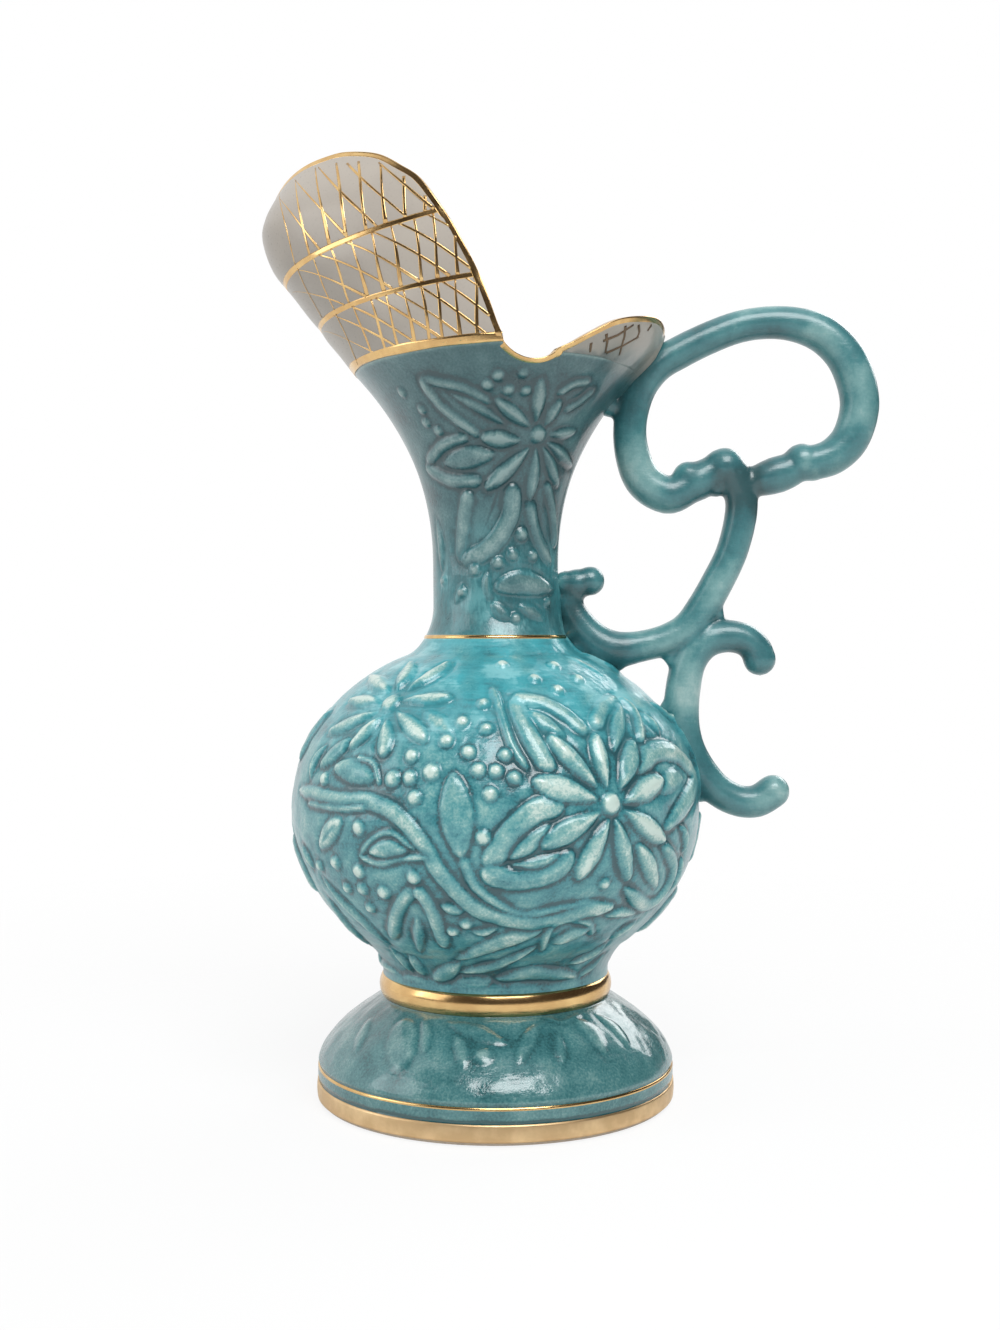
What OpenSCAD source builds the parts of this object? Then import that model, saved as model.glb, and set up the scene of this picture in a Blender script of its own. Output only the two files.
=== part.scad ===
// Footed ornamental ewer in glazed earthenware: a round belly on a spreading foot, a trumpet
// neck, a tall tongue-shaped spout, a small back lip, an openwork scroll handle, moulded
// flower sprigs and fired gilt bands. Millimetres, +Z up, the body's axis on Z, standing on
// Z = 0, spout towards -X and handle towards +X.

/* [Foot] */
// Radius of the foot at its plinth
foot_r = 46; // [42:0.2:49]
// Height of the upright plinth at the bottom of the foot
plinth_h = 9.2; // [8:0.2:11]
// Height of the foot, up to the seam inside the waist band
foot_h = 29; // [27.4:0.2:31]
// Thickness of the foot's wall, measured level
foot_wall = 5; // [3.5:0.1:6.5]
// Thickness of the foot's closed top
foot_top = 4.4; // [3:0.1:6]
// Width of the bare ring that the ewer stands on
stand_w = 5.4; // [4:0.2:7]
// Size of the bevel round the bottom edge
foot_bevel = 0.8; // [0.4:0.1:1.4]

/* [Belly] */
// Radius of the waist between foot and belly
waist_r = 29.2; // [27:0.2:31]
// Height of the upright waist above the seam
waist_rise = 4.4; // [3.6:0.2:5.4]
// Radius of the belly at its widest
belly_r = 52.6; // [50:0.2:55]
// Height of the widest place above the ground
belly_mid_z = 74.8; // [73:0.2:77]
// Depth of the belly's lower half, as a part of an ellipse
belly_low_rise = 44.4; // [43:0.2:46]
// Height of the belly's upper half, as a part of an ellipse
belly_high_rise = 43.4; // [42:0.2:44.2]
// Thickness of the belly's wall
belly_wall = 3.4; // [2.6:0.1:4.4]

/* [Neck] */
// Height of the seam between belly and neck
neck_z = 118.6; // [117.8:0.2:119.6]
// Outside radius of the neck at that seam
neck_root_r = 18.2; // [17.4:0.2:19]
// Outside radius of the neck at its slimmest
neck_r = 16.2; // [15:0.2:17.2]
// Height over which the neck draws in above the seam
neck_root_h = 8; // [6:0.2:10]
// Height at which the neck begins to flare
flare_z = 136; // [131:0.5:140]
// Height of the mouth's reference level
mouth_z = 187; // [186:0.2:188]
// Outside radius of the flare at the mouth's reference level
flare_r = 37; // [35:0.2:39]
// Thickness of the neck's wall, measured level
neck_wall = 3; // [2.2:0.1:3.8]

/* [Spout] */
// Height of the spout's highest edge above the ground
spout_top_z = 237.6; // [232:0.2:244]
// Distance of the spout's foremost place from the axis
spout_reach = 59.6; // [56:0.2:63]
// Half width of the spout's flat sides
spout_half_w = 37.6; // [36:0.2:39]
// Height of the spout's seam at the front
front_seam_z = 186.2; // [185.4:0.1:187]
// Height of the spout's seam at the side
side_seam_z = 188.3; // [187.6:0.1:189]
// Share of the spout's height at the middle gilt line's front
middle_front_share = 0.225; // [0.18:0.005:0.27]
// Share of the spout's height at the middle gilt line's sides
middle_side_share = 0.36; // [0.31:0.005:0.4]
// Share of the spout's height at the upper gilt line's front
upper_front_share = 0.44; // [0.39:0.005:0.49]
// Share of the spout's height at the upper gilt line's sides
upper_side_share = 0.715; // [0.66:0.005:0.75]
// Swell of each tier between two gilt lines
tier_swell = 0.6; // [0.2:0.1:1.2]
// Thickness of the spout's wall at its edge
rim_wall = 2.4; // [1.8:0.1:3]

/* [Back lip] */
// Height of the back lip's highest edge above the ground
lip_top_z = 197.6; // [196:0.2:202]
// Distance of the back lip's edge from the axis
lip_reach = 43.6; // [42:0.2:45.5]
// Height of the seam under the back lip
lip_seam_z = 186.6; // [186:0.1:187.4]
// Distance of the mouth's lowest place behind the axis
notch_x = 9.2; // [8.4:0.1:10]
// Height of the mouth's lowest place
notch_z = 184.8; // [184:0.1:185.6]
// Radius of the scooped dip between spout and back lip
notch_r = 9.6; // [9:0.1:10.4]

/* [Handle] */
// Radius of the handle's rods
rod_r = 4.4; // [3.8:0.1:5]
// Distance of the upper loop's inner side from the axis, at the rod's middle
loop_x = 34.8; // [34.2:0.1:35.4]
// Height of the upper loop's lowest place, at the rod's middle
loop_z = 155.4; // [154.8:0.1:156]
// Width of the upper loop between rod middles
loop_w = 59.6; // [58.6:0.2:60.6]
// Height of the upper loop between rod middles
loop_h = 44.6; // [43.8:0.2:45.4]
// Distance of the main scroll's inner curl from the axis, at the rod's middle
scroll_x = 19.4; // [19:0.1:20]
// Height of the main scroll's lowest place, at the rod's middle
scroll_z = 115.4; // [115:0.1:116]
// Width of the main scroll between rod middles
scroll_w = 44.4; // [43.8:0.1:45]
// Height of the main scroll between rod middles
scroll_h = 47; // [46.4:0.1:47.6]
// Distance of the lower scroll's back from the axis, at the rod's middle
hook_x = 48.4; // [47.8:0.1:49]
// Height of the lower scroll's lowest place, at the rod's middle
hook_z = 75.8; // [75.2:0.1:76.4]
// Width of the lower scroll between rod middles
hook_w = 23.8; // [23:0.2:24.6]
// Height of the lower scroll between rod middles
hook_h = 43; // [42.4:0.1:43.6]

/* [Gilding] */
// Thickness of the gilt layers
gilt = 0.35; // [0.25:0.05:0.5]
// Height of the waist band
waist_band_h = 5.6; // [4.6:0.2:6.6]
// Height of the gilt band round the plinth
rim_band_h = 4.2; // [4:0.2:6]
// Width of the gilt lines round foot and neck
line_w = 1.2; // [0.8:0.1:1.6]
// Width of the gilt lines across the spout
spout_line_w = 2; // [1.2:0.1:2.6]

/* [Sprigs] */
// Reach of a petal from the middle of the large flower on the belly
petal_l = 19.6; // [18:0.2:20.4]
// Width of a petal on the belly
petal_w = 5.4; // [4.4:0.2:5.6]
// Radius of the centre bead of a flower on the belly
bead_r = 2.7; // [2:0.1:3]
// Radius of a berry on the belly
berry_r = 2.1; // [1.6:0.1:2.2]
// Width of the vine and of the sepals' edges
vine_w = 3.6; // [2.6:0.2:4]
// Reach of a petal from the middle of the flower on the neck
neck_petal_l = 12.6; // [11:0.2:13]
// Width of a petal on the neck
neck_petal_w = 3.8; // [3:0.2:4.2]
// Radius of the flower's bead and of the berries on the neck
neck_bead_r = 2; // [1.5:0.1:2.4]
// Height of the sprigs above the wall
sprig_h = 1.1; // [0.7:0.1:1.4]
// Length of a leaf lappet on the foot
lappet_l = 12; // [9:0.5:14]
// Width of a leaf lappet on the foot
lappet_w = 8.6; // [7:0.2:10]

/* [Hidden] */
$fn = 96;

glaze = "#4f9a9f";
dark_glaze = "#3f868c";
pale_glaze = "#c3bcb0";
sprig_glaze = "#7db5b3";
gold = "#c9a667";

// Clearance between luted pieces, share of a tier's swell left clear under the spout's gilt lines,
// and the overrun of every cut
lute = 0.1;
line_seat_share = 0.4;
overrun = 3;

// The neck's flare and the foot's dome follow power curves
flare_power = 2.3;
dome_power = 1.7;
dome_top_z = foot_h - waist_band_h / 2;
dome_h = dome_top_z - plinth_h;
waist_top_z = foot_h + waist_rise;
mouth_top_z = side_seam_z + overrun;

// Places on the belly's ellipse where its round hands over to waist and neck
belly_low_share = 0.64;
belly_high_share = 0.43;
waist_bend_share = 0.35;
neck_bend_share = 0.5;
belly_low_turn = -acos(belly_low_share);
belly_high_turn = acos(belly_high_share);

// Steps along curves
dome_steps = 7;
belly_steps = 20;
bend_steps = 3;
neck_steps = 18;
rod_sides = 10;
rod_steps = 2;

// The spout's front line, width and edge: each is a share of the height from seam to top,
// or of a quarter turn from the front, with the share of reach, half width or height there
front_reach_shares = [
    [0, 0], [0.1, 0.15], [0.2, 0.345], [0.36, 0.61], [0.5, 0.88],
    [0.66, 1], [0.76, 0.975], [0.86, 0.87], [1, 0.7]
];
side_width_shares = [[0, 1], [0.35, 1], [0.6, 0.97], [0.82, 0.88], [1, 0.76]];
spout_edge_shares = [
    [0, 0.865], [0.06, 0.875], [0.16, 0.928], [0.28, 0.972], [0.39, 0.993], [0.49, 1],
    [0.62, 0.965], [0.71, 0.888],
    [0.78, 0.8], [0.845, 0.63], [0.9, 0.42], [0.945, 0.22], [0.975, 0.09], [1, 0.02]
];
// How closely the spout's columns crowd towards its side edges
column_crowding = 1.5;
// The back lip's edge, from its middle to its end
lip_edge_shares = [
    [0, 0.86], [0.3, 1], [0.5, 0.92], [0.69, 0.74], [0.83, 0.43], [0.92, 0.2], [1, 0.05]
];
// Places along the dip between spout and back lip
notch_place_shares = [0.2, 0.4, 0.6, 0.8];
lip_columns = 11;
lip_rows = 3;
// How far up a tier its wall has left the neck's round flare
spout_blend_share = 0.3;
spout_side_columns = 13;
// Rows within each of the three tiers
tier_rows = 3;

// Rod routes: place across and up as shares of the scroll's width and height, then the
// rod's thickness as a share of its radius
loop_shares = [
    [0.24, 0.035, 1.06], [0.16, 0, 1.12], [0.05, 0.1, 1.1], [0, 0.34, 1], [0.03, 0.58, 1],
    [0.11, 0.74, 1], [0.22, 0.83, 0.98], [0.36, 0.92, 0.96], [0.49, 0.98, 0.95],
    [0.63, 1, 0.97], [0.76, 0.975, 1.05], [0.87, 0.9, 1.12], [0.955, 0.76, 1.15],
    [1, 0.54, 1.16], [0.965, 0.34, 1.14], [0.89, 0.23, 1.1], [0.81, 0.19, 1.04]
];
scroll_shares = [
    [0.88, 1, 1.12], [0.96, 0.95, 1.04], [1, 0.83, 0.98], [0.99, 0.7, 0.96],
    [0.94, 0.525, 0.95], [0.855, 0.36, 0.97], [0.78, 0.235, 0.98], [0.69, 0.12, 0.97],
    [0.57, 0.055, 0.94], [0.41, 0.015, 0.94], [0.245, 0, 1.12], [0.12, 0.07, 1],
    [0.03, 0.18, 0.86], [0, 0.265, 0.78], [0.04, 0.34, 0.72], [0.12, 0.375, 0.7]
];
hook_shares = [
    [0.85, 0.86, 0.98], [0.8, 0.93, 0.94], [0.68, 0.98, 0.95], [0.5, 1, 0.98],
    [0.31, 0.98, 1], [0.17, 0.92, 1], [0.07, 0.825, 1.02], [0.02, 0.7, 1.05],
    [0, 0.575, 1.05], [0.01, 0.44, 1.05], [0.08, 0.31, 1], [0.21, 0.18, 1],
    [0.39, 0.07, 0.97], [0.61, 0.005, 0.95], [0.82, 0, 0.97], [1, 0.06, 1]
];
// A rod's rounded end: how far each ring lies out, as a share of the rod's radius there
round_end_shares = [0.4, 0.7, 0.9, 0.98];
// A knuckle's turned outline: place along it and thickness as a share of the rod's radius
inner_knuckle_shares = [
    [0, 1], [0.1, 1.02], [0.2, 1.12], [0.42, 1.16], [0.62, 1.08], [0.76, 0.92], [1, 0.86]
];
outer_knuckle_shares = [
    [0, 1.02], [0.07, 1.12], [0.14, 1.06], [0.2, 0.86], [0.27, 0.96], [0.42, 1.08],
    [0.58, 1.06], [0.7, 0.94], [0.77, 0.84], [0.84, 0.9], [1, 0.84]
];

// Sprig places on the belly: turn from the side that faces -Y, then rise up the ellipse in degrees
large_flower_place = [31, 7];
small_flower_place = [-38, 40];
small_flower_share = 0.84;
// Petals of a flower: heading (0 to the right, 90 up) and reach as a share
large_flower_petal_shares = [
    [90, 0.88], [51, 0.96], [14, 0.94], [-30, 1.04], [-69, 1.04],
    [-115, 0.98], [-152, 0.95], [164, 1], [129, 1.08]
];
small_flower_petal_shares = [
    [9, 1], [59, 1.12], [118, 1.06], [152, 0.86], [182, 1.08],
    [211, 1.14], [250, 0.9], [286, 0.94], [320, 1]
];
petal_gap_share = 0.0425;
// Edges and ribs of the large flower's sepals: width as a share of the vine's, then the run
sepal_edge_shares = [
    [1, [[7, 42], [10, 29], [14, 20]]],
    [1, [[7, 43], [17, 41], [23, 36], [26, 32]]],
    [1, [[50, 41], [41, 38], [34, 35]]],
    [0.95, [[51, 41], [53, 35], [50, 29]]],
    [1.3, [[47, 20], [52, 22], [64, 21], [75, 13], [67, 6], [53, -2]]],
    [1.25, [[15, 6], [6, 2], [1, -5], [-2, -11]]],
    [1.25, [[-2, -13], [6, -16], [15, -15], [19, -10]]],
    [1.1, [[55, -12], [59, -16], [61, -25], [53, -29], [44, -25]]]
];
// Blades: width as a share of a petal's, then the run
sepal_blade_shares = [
    [0.65, [[10, 38], [15, 33]]], [0.75, [[48, 38], [41, 32], [36, 26]]],
    [0.6, [[57, 13], [66, 12]]], [0.65, [[4, -10], [8, -5], [12, 0]]],
    [0.5, [[5, -12], [11, -11], [16, -8]]], [0.75, [[41, -8], [46, -14], [52, -21]]]
];
leaf_edge_shares = [
    [0.55, [[-37, -8], [-33, -4], [-27, -2], [-22, -7]]],
    [0.55, [[-38, -12], [-31, -13], [-25, -12], [-22, -11]]],
    [0.55, [[-44, 1], [-51, -2], [-55, -6], [-53, -9], [-47, -6]]],
    [1, [[-25, -21], [-28, -25], [-32, -31], [-38, -40]]],
    [1.05, [[-20, -20], [-18, -25], [-17, -32], [-17, -42]]],
    [0.65, [[17, -44], [17, -35], [21, -32], [29, -33], [34, -38]]]
];
leaf_blade_shares = [
    [1.5, [[-11, 17], [-10, 4], [-9, -8]]], [1.15, [[-50, 17], [-41, 16], [-33, 14]]],
    [0.9, [[-50, 23], [-54, 20], [-59, 15]]], [0.6, [[-61, 23], [-64, 18], [-64, 12]]],
    [0.5, [[-33, -9], [-28, -8], [-24, -8]]], [0.75, [[-59, -20], [-53, -28], [-47, -36], [-44, -45]]],
    [0.6, [[-64, -28], [-65, -39], [-69, -47]]], [0.6, [[-25, -31], [-26, -37], [-29, -44]]],
    [0.65, [[-15, -25], [-9, -26]]], [0.5, [[-6, -36], [0, -34]]],
    [0.95, [[-13, -47], [0, -40], [12, -36]]], [0.8, [[21, -41], [28, -38]]],
    [0.6, [[36, -32], [42, -31], [50, -32]]], [0.6, [[47, -43], [54, -36]]],
    [0.6, [[60, -4], [65, -7], [66, -12]]], [0.6, [[67, -15], [68, -20], [67, -27]]],
    [0.6, [[60, 35], [62, 28]]], [0.55, [[74, 39], [82, 34], [85, 28]]],
    [0.6, [[-68, -10], [-63, -17]]], [1.2, [[86, -2], [89, -8], [87, -20]]],
    [1, [[-76, 36], [-79, 26], [-80, 16]]], [1, [[80, -26], [76, -34], [70, -44]]],
    [1, [[-82, -8], [-77, -18], [-74, -28]]]
];
berry_places = [
    [-23, 22], [-14, 27], [-23, 15], [-21, 9], [-6, 24], [-3, 18], [-1, 11], [-17, 17], [-28, 13],
    [3, 24], [4, 15], [-10, 34], [-4, 40], [-3, 31], [-54, 12], [-37, -1], [-48, -13], [-39, -16],
    [-40, -22], [-32, -21], [-46, -21], [-39, -28], [-57, -15], [-9, -31], [-12, -36], [31, -19],
    [17, 51], [24, 47], [37, 51], [31, 58], [4, 58]
];
// Vines: width as a share, then the run
vine_run_shares = [
    [1, [
        [-76, 9], [-60, 8], [-47, 7], [-34, 7], [-26, 4], [-18, -5], [-14, -14], [-6, -25], [1, -29],
        [12, -31], [26, -28], [34, -27]
    ]],
    [0.75, [[-7, -12], [-5, -18], [1, -25], [8, -28], [20, -26], [30, -25]]],
    [0.5, [[-61, 3], [-51, 2]]]
];
// Sprig places on the neck: turn, share of the height from the seam to the mouth, heading,
// then length and width as shares of a petal's
neck_flower_place = [30, 0.68];
neck_petal_count = 9;
neck_leaf_places = [
    [-44, 0.76, 150, 1.4, 1.9], [-40, 0.58, 196, 1.2, 2], [-22, 0.36, 250, 1.6, 1.9],
    [36, 0.36, 285, 1.6, 1.9], [14, 0.2, 10, 1.2, 1.6], [60, 0.84, 30, 1.2, 1.6],
    [76, 0.56, 300, 1.2, 1.75]
];
// Berry clusters: turn, share of the height, number of berries and heading of the first one
neck_berry_clusters = [[-12, 0.82, 3, 0], [7, 0.31, 2, 30], [-68, 0.5, 3, 40], [66, 0.34, 3, 0]];
lappet_count = 14;
lappet_rise_share = 0.66;
lappet_crown_share = 0.64;
motif_turns = [0, 180];
bead_sides = 8;
bead_ring_lat = 48;
// A sprig's section and outline: how far out its flat top reaches, where along it the first and last
// rings lie, and how its width and height grow from there
shoulder_share = 0.6;
blade_ring_shares = [0.05, 0.2, 0.4, 0.6, 0.8, 0.95];
blade_taper_share = 0.9;
crown_growth_share = 0.55;
edge_tip_share = 0.5;
route_steps = 2;
berry_rise_share = 0.7;
// Height of the mouth rim's gilding at its two edges, as a share of its thickness
rim_shoulder_share = 0.6;
// Gap between neighbouring berries as a share of a berry's radius, and the turn from one to the next
berry_gap_share = 0.2;
cluster_turn = 60;

// Curves and interpolation

function mix(a, b, share) = a + (b - a) * share;
function ease(share) = let (s = min(max(share, 0), 1)) s * s * (3 - 2 * s);
function unit(v) = v / norm(v);
function round_bend(a, b, c) = [
    for (k = [1 : bend_steps])
        let (s = k / (bend_steps + 1)) mix(mix(a, b, s), mix(b, c, s), s)
];
function spline_point(p, i, s) =
    let (
        a = p[max(i - 1, 0)],
        b = p[i],
        c = p[i + 1],
        d = p[min(i + 2, len(p) - 1)]
    )
    b + (c - a) * s / 2 + (2 * a - 5 * b + 4 * c - d) * s * s / 2
    + (3 * b - a - 3 * c + d) * s * s * s / 2;
function smooth(p, steps) = [
    for (i = [0 : len(p) - 2], k = [0 : steps - 1]) spline_point(p, i, k / steps),
    p[len(p) - 1]
];

// Outlines of the turned body

function dome_at(share) =
    [waist_r + (foot_r - waist_r) * (1 - pow(max(share, 0), dome_power)), plinth_h + dome_h * share];
function belly_rise(lat) = lat < 0 ? belly_low_rise : belly_high_rise;
function belly_at(lat, inset = 0) = [
    (belly_r - inset) * cos(lat),
    belly_mid_z + (belly_rise(lat) - inset) * sin(lat)
];
function neck_r_at(z) =
    neck_r
    + (neck_root_r - neck_r) * pow(max(neck_z + neck_root_h - z, 0) / neck_root_h, 2)
    + (flare_r - neck_r) * pow(max(z - flare_z, 0) / (mouth_z - flare_z), flare_power);

foot_outline = concat(
    [[foot_r - stand_w, 0], [foot_r - foot_bevel, 0], [foot_r, foot_bevel]],
    [for (k = [0 : dome_steps]) dome_at(k / dome_steps)],
    [[waist_r, foot_h], [0, foot_h], [0, foot_h - foot_top]],
    [for (k = [dome_steps : -1 : 0])
        let (p = dome_at(k / dome_steps))
        if (p[1] <= foot_h - foot_top) [p[0] - foot_wall, p[1]]]
);

low_hand_over = belly_at(belly_low_turn);
high_hand_over = belly_at(belly_high_turn);
belly_skin = concat(
    [[waist_r, foot_h], [waist_r, waist_top_z]],
    round_bend(
        [waist_r, waist_top_z],
        [waist_r, mix(waist_top_z, low_hand_over[1], waist_bend_share)],
        low_hand_over
    ),
    [for (k = [0 : belly_steps]) belly_at(mix(belly_low_turn, belly_high_turn, k / belly_steps))],
    round_bend(
        high_hand_over,
        [
            mix(high_hand_over[0], neck_root_r, neck_bend_share),
            mix(high_hand_over[1], neck_z, neck_bend_share / 2)
        ],
        [neck_root_r, neck_z]
    ),
    [[neck_root_r, neck_z]]
);
throat_r = neck_root_r - neck_wall;
throat_turn = acos(throat_r / (belly_r - belly_wall));
belly_outline = concat(
    [[0, foot_h]],
    belly_skin,
    [[throat_r, neck_z]],
    [for (k = [belly_steps : -1 : 0]) belly_at(mix(-90, throat_turn, k / belly_steps), belly_wall)]
);

neck_heights = [for (k = [0 : neck_steps]) mix(neck_z, mouth_top_z, k / neck_steps)];
neck_skin = [for (z = neck_heights) [neck_r_at(z), z]];
neck_outline = concat(neck_skin, [for (k = [neck_steps : -1 : 0]) neck_skin[k] - [neck_wall, 0]]);

// The mouth: spout, back lip and the dip between them

function front_seam(turn) = mix(side_seam_z, front_seam_z, cos(turn));
spout_h = spout_top_z - front_seam_z;
function middle_line(turn) =
    front_seam_z + spout_h * mix(middle_side_share, middle_front_share, cos(turn));
function upper_line(turn) =
    front_seam_z + spout_h * mix(upper_side_share, upper_front_share, cos(turn));
function notch_edge(x) = notch_z + notch_r - sqrt(max(notch_r * notch_r - pow(x - notch_x, 2), 0));
function notch_span(z) = sqrt(notch_r * notch_r - pow(notch_z + notch_r - z, 2));

spout_start_x = notch_x - notch_span(side_seam_z);
spout_turn = 90 + asin(spout_start_x / neck_r_at(side_seam_z));
lip_start_x = notch_x + notch_span(lip_seam_z);
lip_turn = acos(lip_start_x / neck_r_at(lip_seam_z));

front_reach = smooth(front_reach_shares, 3);
side_width = smooth(side_width_shares, 3);
spout_edge = smooth(spout_edge_shares, 3);
lip_edge = smooth(lip_edge_shares, 3);

function spout_share(z) = (z - front_seam_z) / spout_h;
function spout_edge_z(turn) =
    mix(front_seam(turn), spout_top_z, lookup(abs(turn) / spout_turn, spout_edge));
function spout_wall_at(z) = mix(neck_wall, rim_wall, spout_share(z));
// Swell of the wall between the gilt lines at one turn and height
function tier_swell_at(turn, z) =
    let (
        lines = [front_seam(turn), middle_line(turn), upper_line(turn), spout_top_z],
        tier = z < lines[1] ? 0 : z < lines[2] ? 1 : 2,
        share = (z - lines[tier]) / max(lines[tier + 1] - lines[tier], lute)
    )
    tier_swell * sin(180 * min(max(share, 0), 1));
function spout_at(turn, z, out) =
    let (
        share = spout_share(z),
        root = neck_r_at(front_seam(turn)) + out,
        grown = ease(share / spout_blend_share),
        reach = mix(neck_r_at(front_seam_z), spout_reach, lookup(share, front_reach)) + out,
        side = spout_half_w * lookup(share, side_width) + out,
        swell = tier_swell_at(turn, z)
    )
    [
        -(mix(max(root, reach), reach, grown) + swell) * cos(turn),
        -(mix(root, side, grown) + swell) * sin(turn),
        z
    ];
function lip_edge_z(turn) = mix(lip_seam_z, lip_top_z, lookup(abs(turn) / lip_turn, lip_edge));
function lip_r_at(z) =
    mix(neck_r_at(lip_seam_z), lip_reach, sin(90 * (z - lip_seam_z) / (lip_top_z - lip_seam_z)));
function lip_at(turn, z, out) = let (r = lip_r_at(z) + out) [r * cos(turn), r * sin(turn), z];

spout_columns = [for (k = [-spout_side_columns : spout_side_columns])
    let (share = k / spout_side_columns)
    spout_turn * sign(share) * (1 - pow(1 - abs(share), column_crowding))];
spout_row_shares = [for (k = [0 : 3 * tier_rows]) k / (3 * tier_rows)];

// Solids from points

// A four-sided face as two triangles
function halves(a, b, c, d) = [[a, b, c], [a, c, d]];

// A closed sheet between two grids of points, whose columns run to the right and whose rows
// run up as seen from the front
module sheet(front, back) {
    n = len(front);
    m = len(front[0]);
    size = n * m;
    function f(i, j) = i * m + j;
    function b(i, j) = size + i * m + j;
    polyhedron(
        points = concat([for (c = front) for (p = c) p], [for (c = back) for (p = c) p]),
        faces = concat(
            [for (i = [0 : n - 2], j = [0 : m - 2])
                each halves(f(i, j), f(i, j + 1), f(i + 1, j + 1), f(i + 1, j))],
            [for (i = [0 : n - 2], j = [0 : m - 2])
                each halves(b(i, j), b(i + 1, j), b(i + 1, j + 1), b(i, j + 1))],
            [for (i = [0 : n - 2]) each halves(f(i, 0), f(i + 1, 0), b(i + 1, 0), b(i, 0))],
            [for (i = [0 : n - 2])
                each halves(f(i + 1, m - 1), f(i, m - 1), b(i, m - 1), b(i + 1, m - 1))],
            [for (j = [0 : m - 2]) each halves(f(0, j + 1), f(0, j), b(0, j), b(0, j + 1))],
            [for (j = [0 : m - 2])
                each halves(f(n - 1, j), f(n - 1, j + 1), b(n - 1, j + 1), b(n - 1, j))]
        )
    );
}

// A solid through rings of points, each clockwise as seen from the end of the run
module loft(rings, closed = false) {
    n = len(rings);
    k = len(rings[0]);
    function at(i, j) = (i % n) * k + j % k;
    runs = closed ? n - 1 : n - 2;
    polyhedron(
        points = [for (r = rings) for (p = r) p],
        faces = concat(
            [for (i = [0 : runs], j = [0 : k - 1])
                each halves(at(i + 1, j + 1), at(i + 1, j), at(i, j), at(i, j + 1))],
            closed ? [] : [for (j = [1 : k - 2]) [at(0, 0), at(0, j + 1), at(0, j)]],
            closed ? [] : [for (j = [1 : k - 2]) [at(n - 1, 0), at(n - 1, j), at(n - 1, j + 1)]]
        )
    );
}

// Handle rods

// Stations of a rod as [x, z, radius] from its shares
function rod_route(shares, x, z, w, h) =
    smooth([for (s = shares) [x + w * s[0], z + h * s[1], rod_r * s[2]]], rod_steps);
function run_of(p, i) =
    let (a = p[max(i - 1, 0)], b = p[min(i + 1, len(p) - 1)]) unit([b[0] - a[0], b[1] - a[1]]);
function round_end(p, run) = [
    for (s = round_end_shares)
        [p[0] + run[0] * p[2] * s, p[1] + run[1] * p[2] * s, p[2] * sqrt(1 - s * s)]
];
function reversed(p) = [for (i = [len(p) - 1 : -1 : 0]) p[i]];
function with_round_ends(p, start, end) =
    concat(
        start ? reversed(round_end(p[0], -run_of(p, 0))) : [],
        p,
        end ? round_end(p[len(p) - 1], run_of(p, len(p) - 1)) : []
    );

module rod(route, grow = 0) {
    loft([
        for (i = [0 : len(route) - 1])
            let (p = route[i], run = run_of(route, i))
            [for (j = [0 : rod_sides - 1])
                let (a = 360 * j / rod_sides, r = p[2] + grow)
                [p[0] - run[1] * r * cos(a), r * sin(a), p[1] + run[0] * r * cos(a)]]
    ]);
}

loop_route = rod_route(loop_shares, loop_x, loop_z, loop_w, loop_h);
scroll_route = with_round_ends(
    rod_route(scroll_shares, scroll_x, scroll_z, scroll_w, scroll_h), true, true
);
hook_route = with_round_ends(rod_route(hook_shares, hook_x, hook_z, hook_w, hook_h), true, true);
scroll_head = [scroll_x + scroll_w * scroll_shares[0][0], scroll_z + scroll_h * scroll_shares[0][1]];
scroll_stem = [scroll_x + scroll_w * scroll_shares[2][0], scroll_z + scroll_h * scroll_shares[1][1]];

// A turned knuckle from the end of the loop towards a place on the main scroll
module knuckle(shares, end, run, target) {
    start = [end[0], end[1]] + run * lute;
    reach = target - start;
    length = norm(reach);
    translate([start[0], 0, start[1]])
        rotate([0, 90 - atan2(reach[1], reach[0]), 0])
            rotate_extrude()
                polygon(concat(
                    [[0, 0]],
                    [for (s = shares) [rod_r * s[1], length * s[0]]],
                    [[0, length]]
                ));
}

// The outside of the body, which the handle's rods are cut to fit
module belly_outside() {
    rotate_extrude()
        polygon(concat([[0, foot_h]], [for (p = belly_skin) p + [lute, 0]], [[0, neck_z]]));
}

module neck_outside() {
    lip_heights = [for (k = [0 : lip_rows]) mix(lip_seam_z, lip_top_z, k / lip_rows)];
    rotate_extrude()
        polygon(concat(
            [[0, neck_z]],
            [for (p = neck_skin) if (p[1] < lip_seam_z) p + [lute, 0]],
            [for (z = lip_heights) [lip_r_at(z) + lute, z]],
            [[0, lip_top_z]]
        ));
}

// Turned pieces

module foot() {
    color(glaze) rotate_extrude() polygon(foot_outline);
}

module belly() {
    color(glaze) rotate_extrude() polygon(belly_outline);
}

module neck() {
    seam_tilt = atan((side_seam_z - front_seam_z) / neck_r_at(mouth_z));
    cut_w = 2 * (spout_reach + overrun);
    color(dark_glaze)
        difference() {
            rotate_extrude() polygon(neck_outline);
            translate([0, 0, side_seam_z])
                rotate([0, -seam_tilt, 0])
                    translate([-cut_w, -cut_w / 2, 0]) cube([cut_w + notch_x, cut_w, cut_w / 2]);
            translate([notch_x, -cut_w / 2, lip_seam_z]) cube([cut_w, cut_w, cut_w / 2]);
            translate([notch_x, 0, notch_z + notch_r])
                rotate([90, 0, 0]) cylinder(h = cut_w, r = notch_r, center = true);
        }
}

// Mouth pieces

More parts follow.
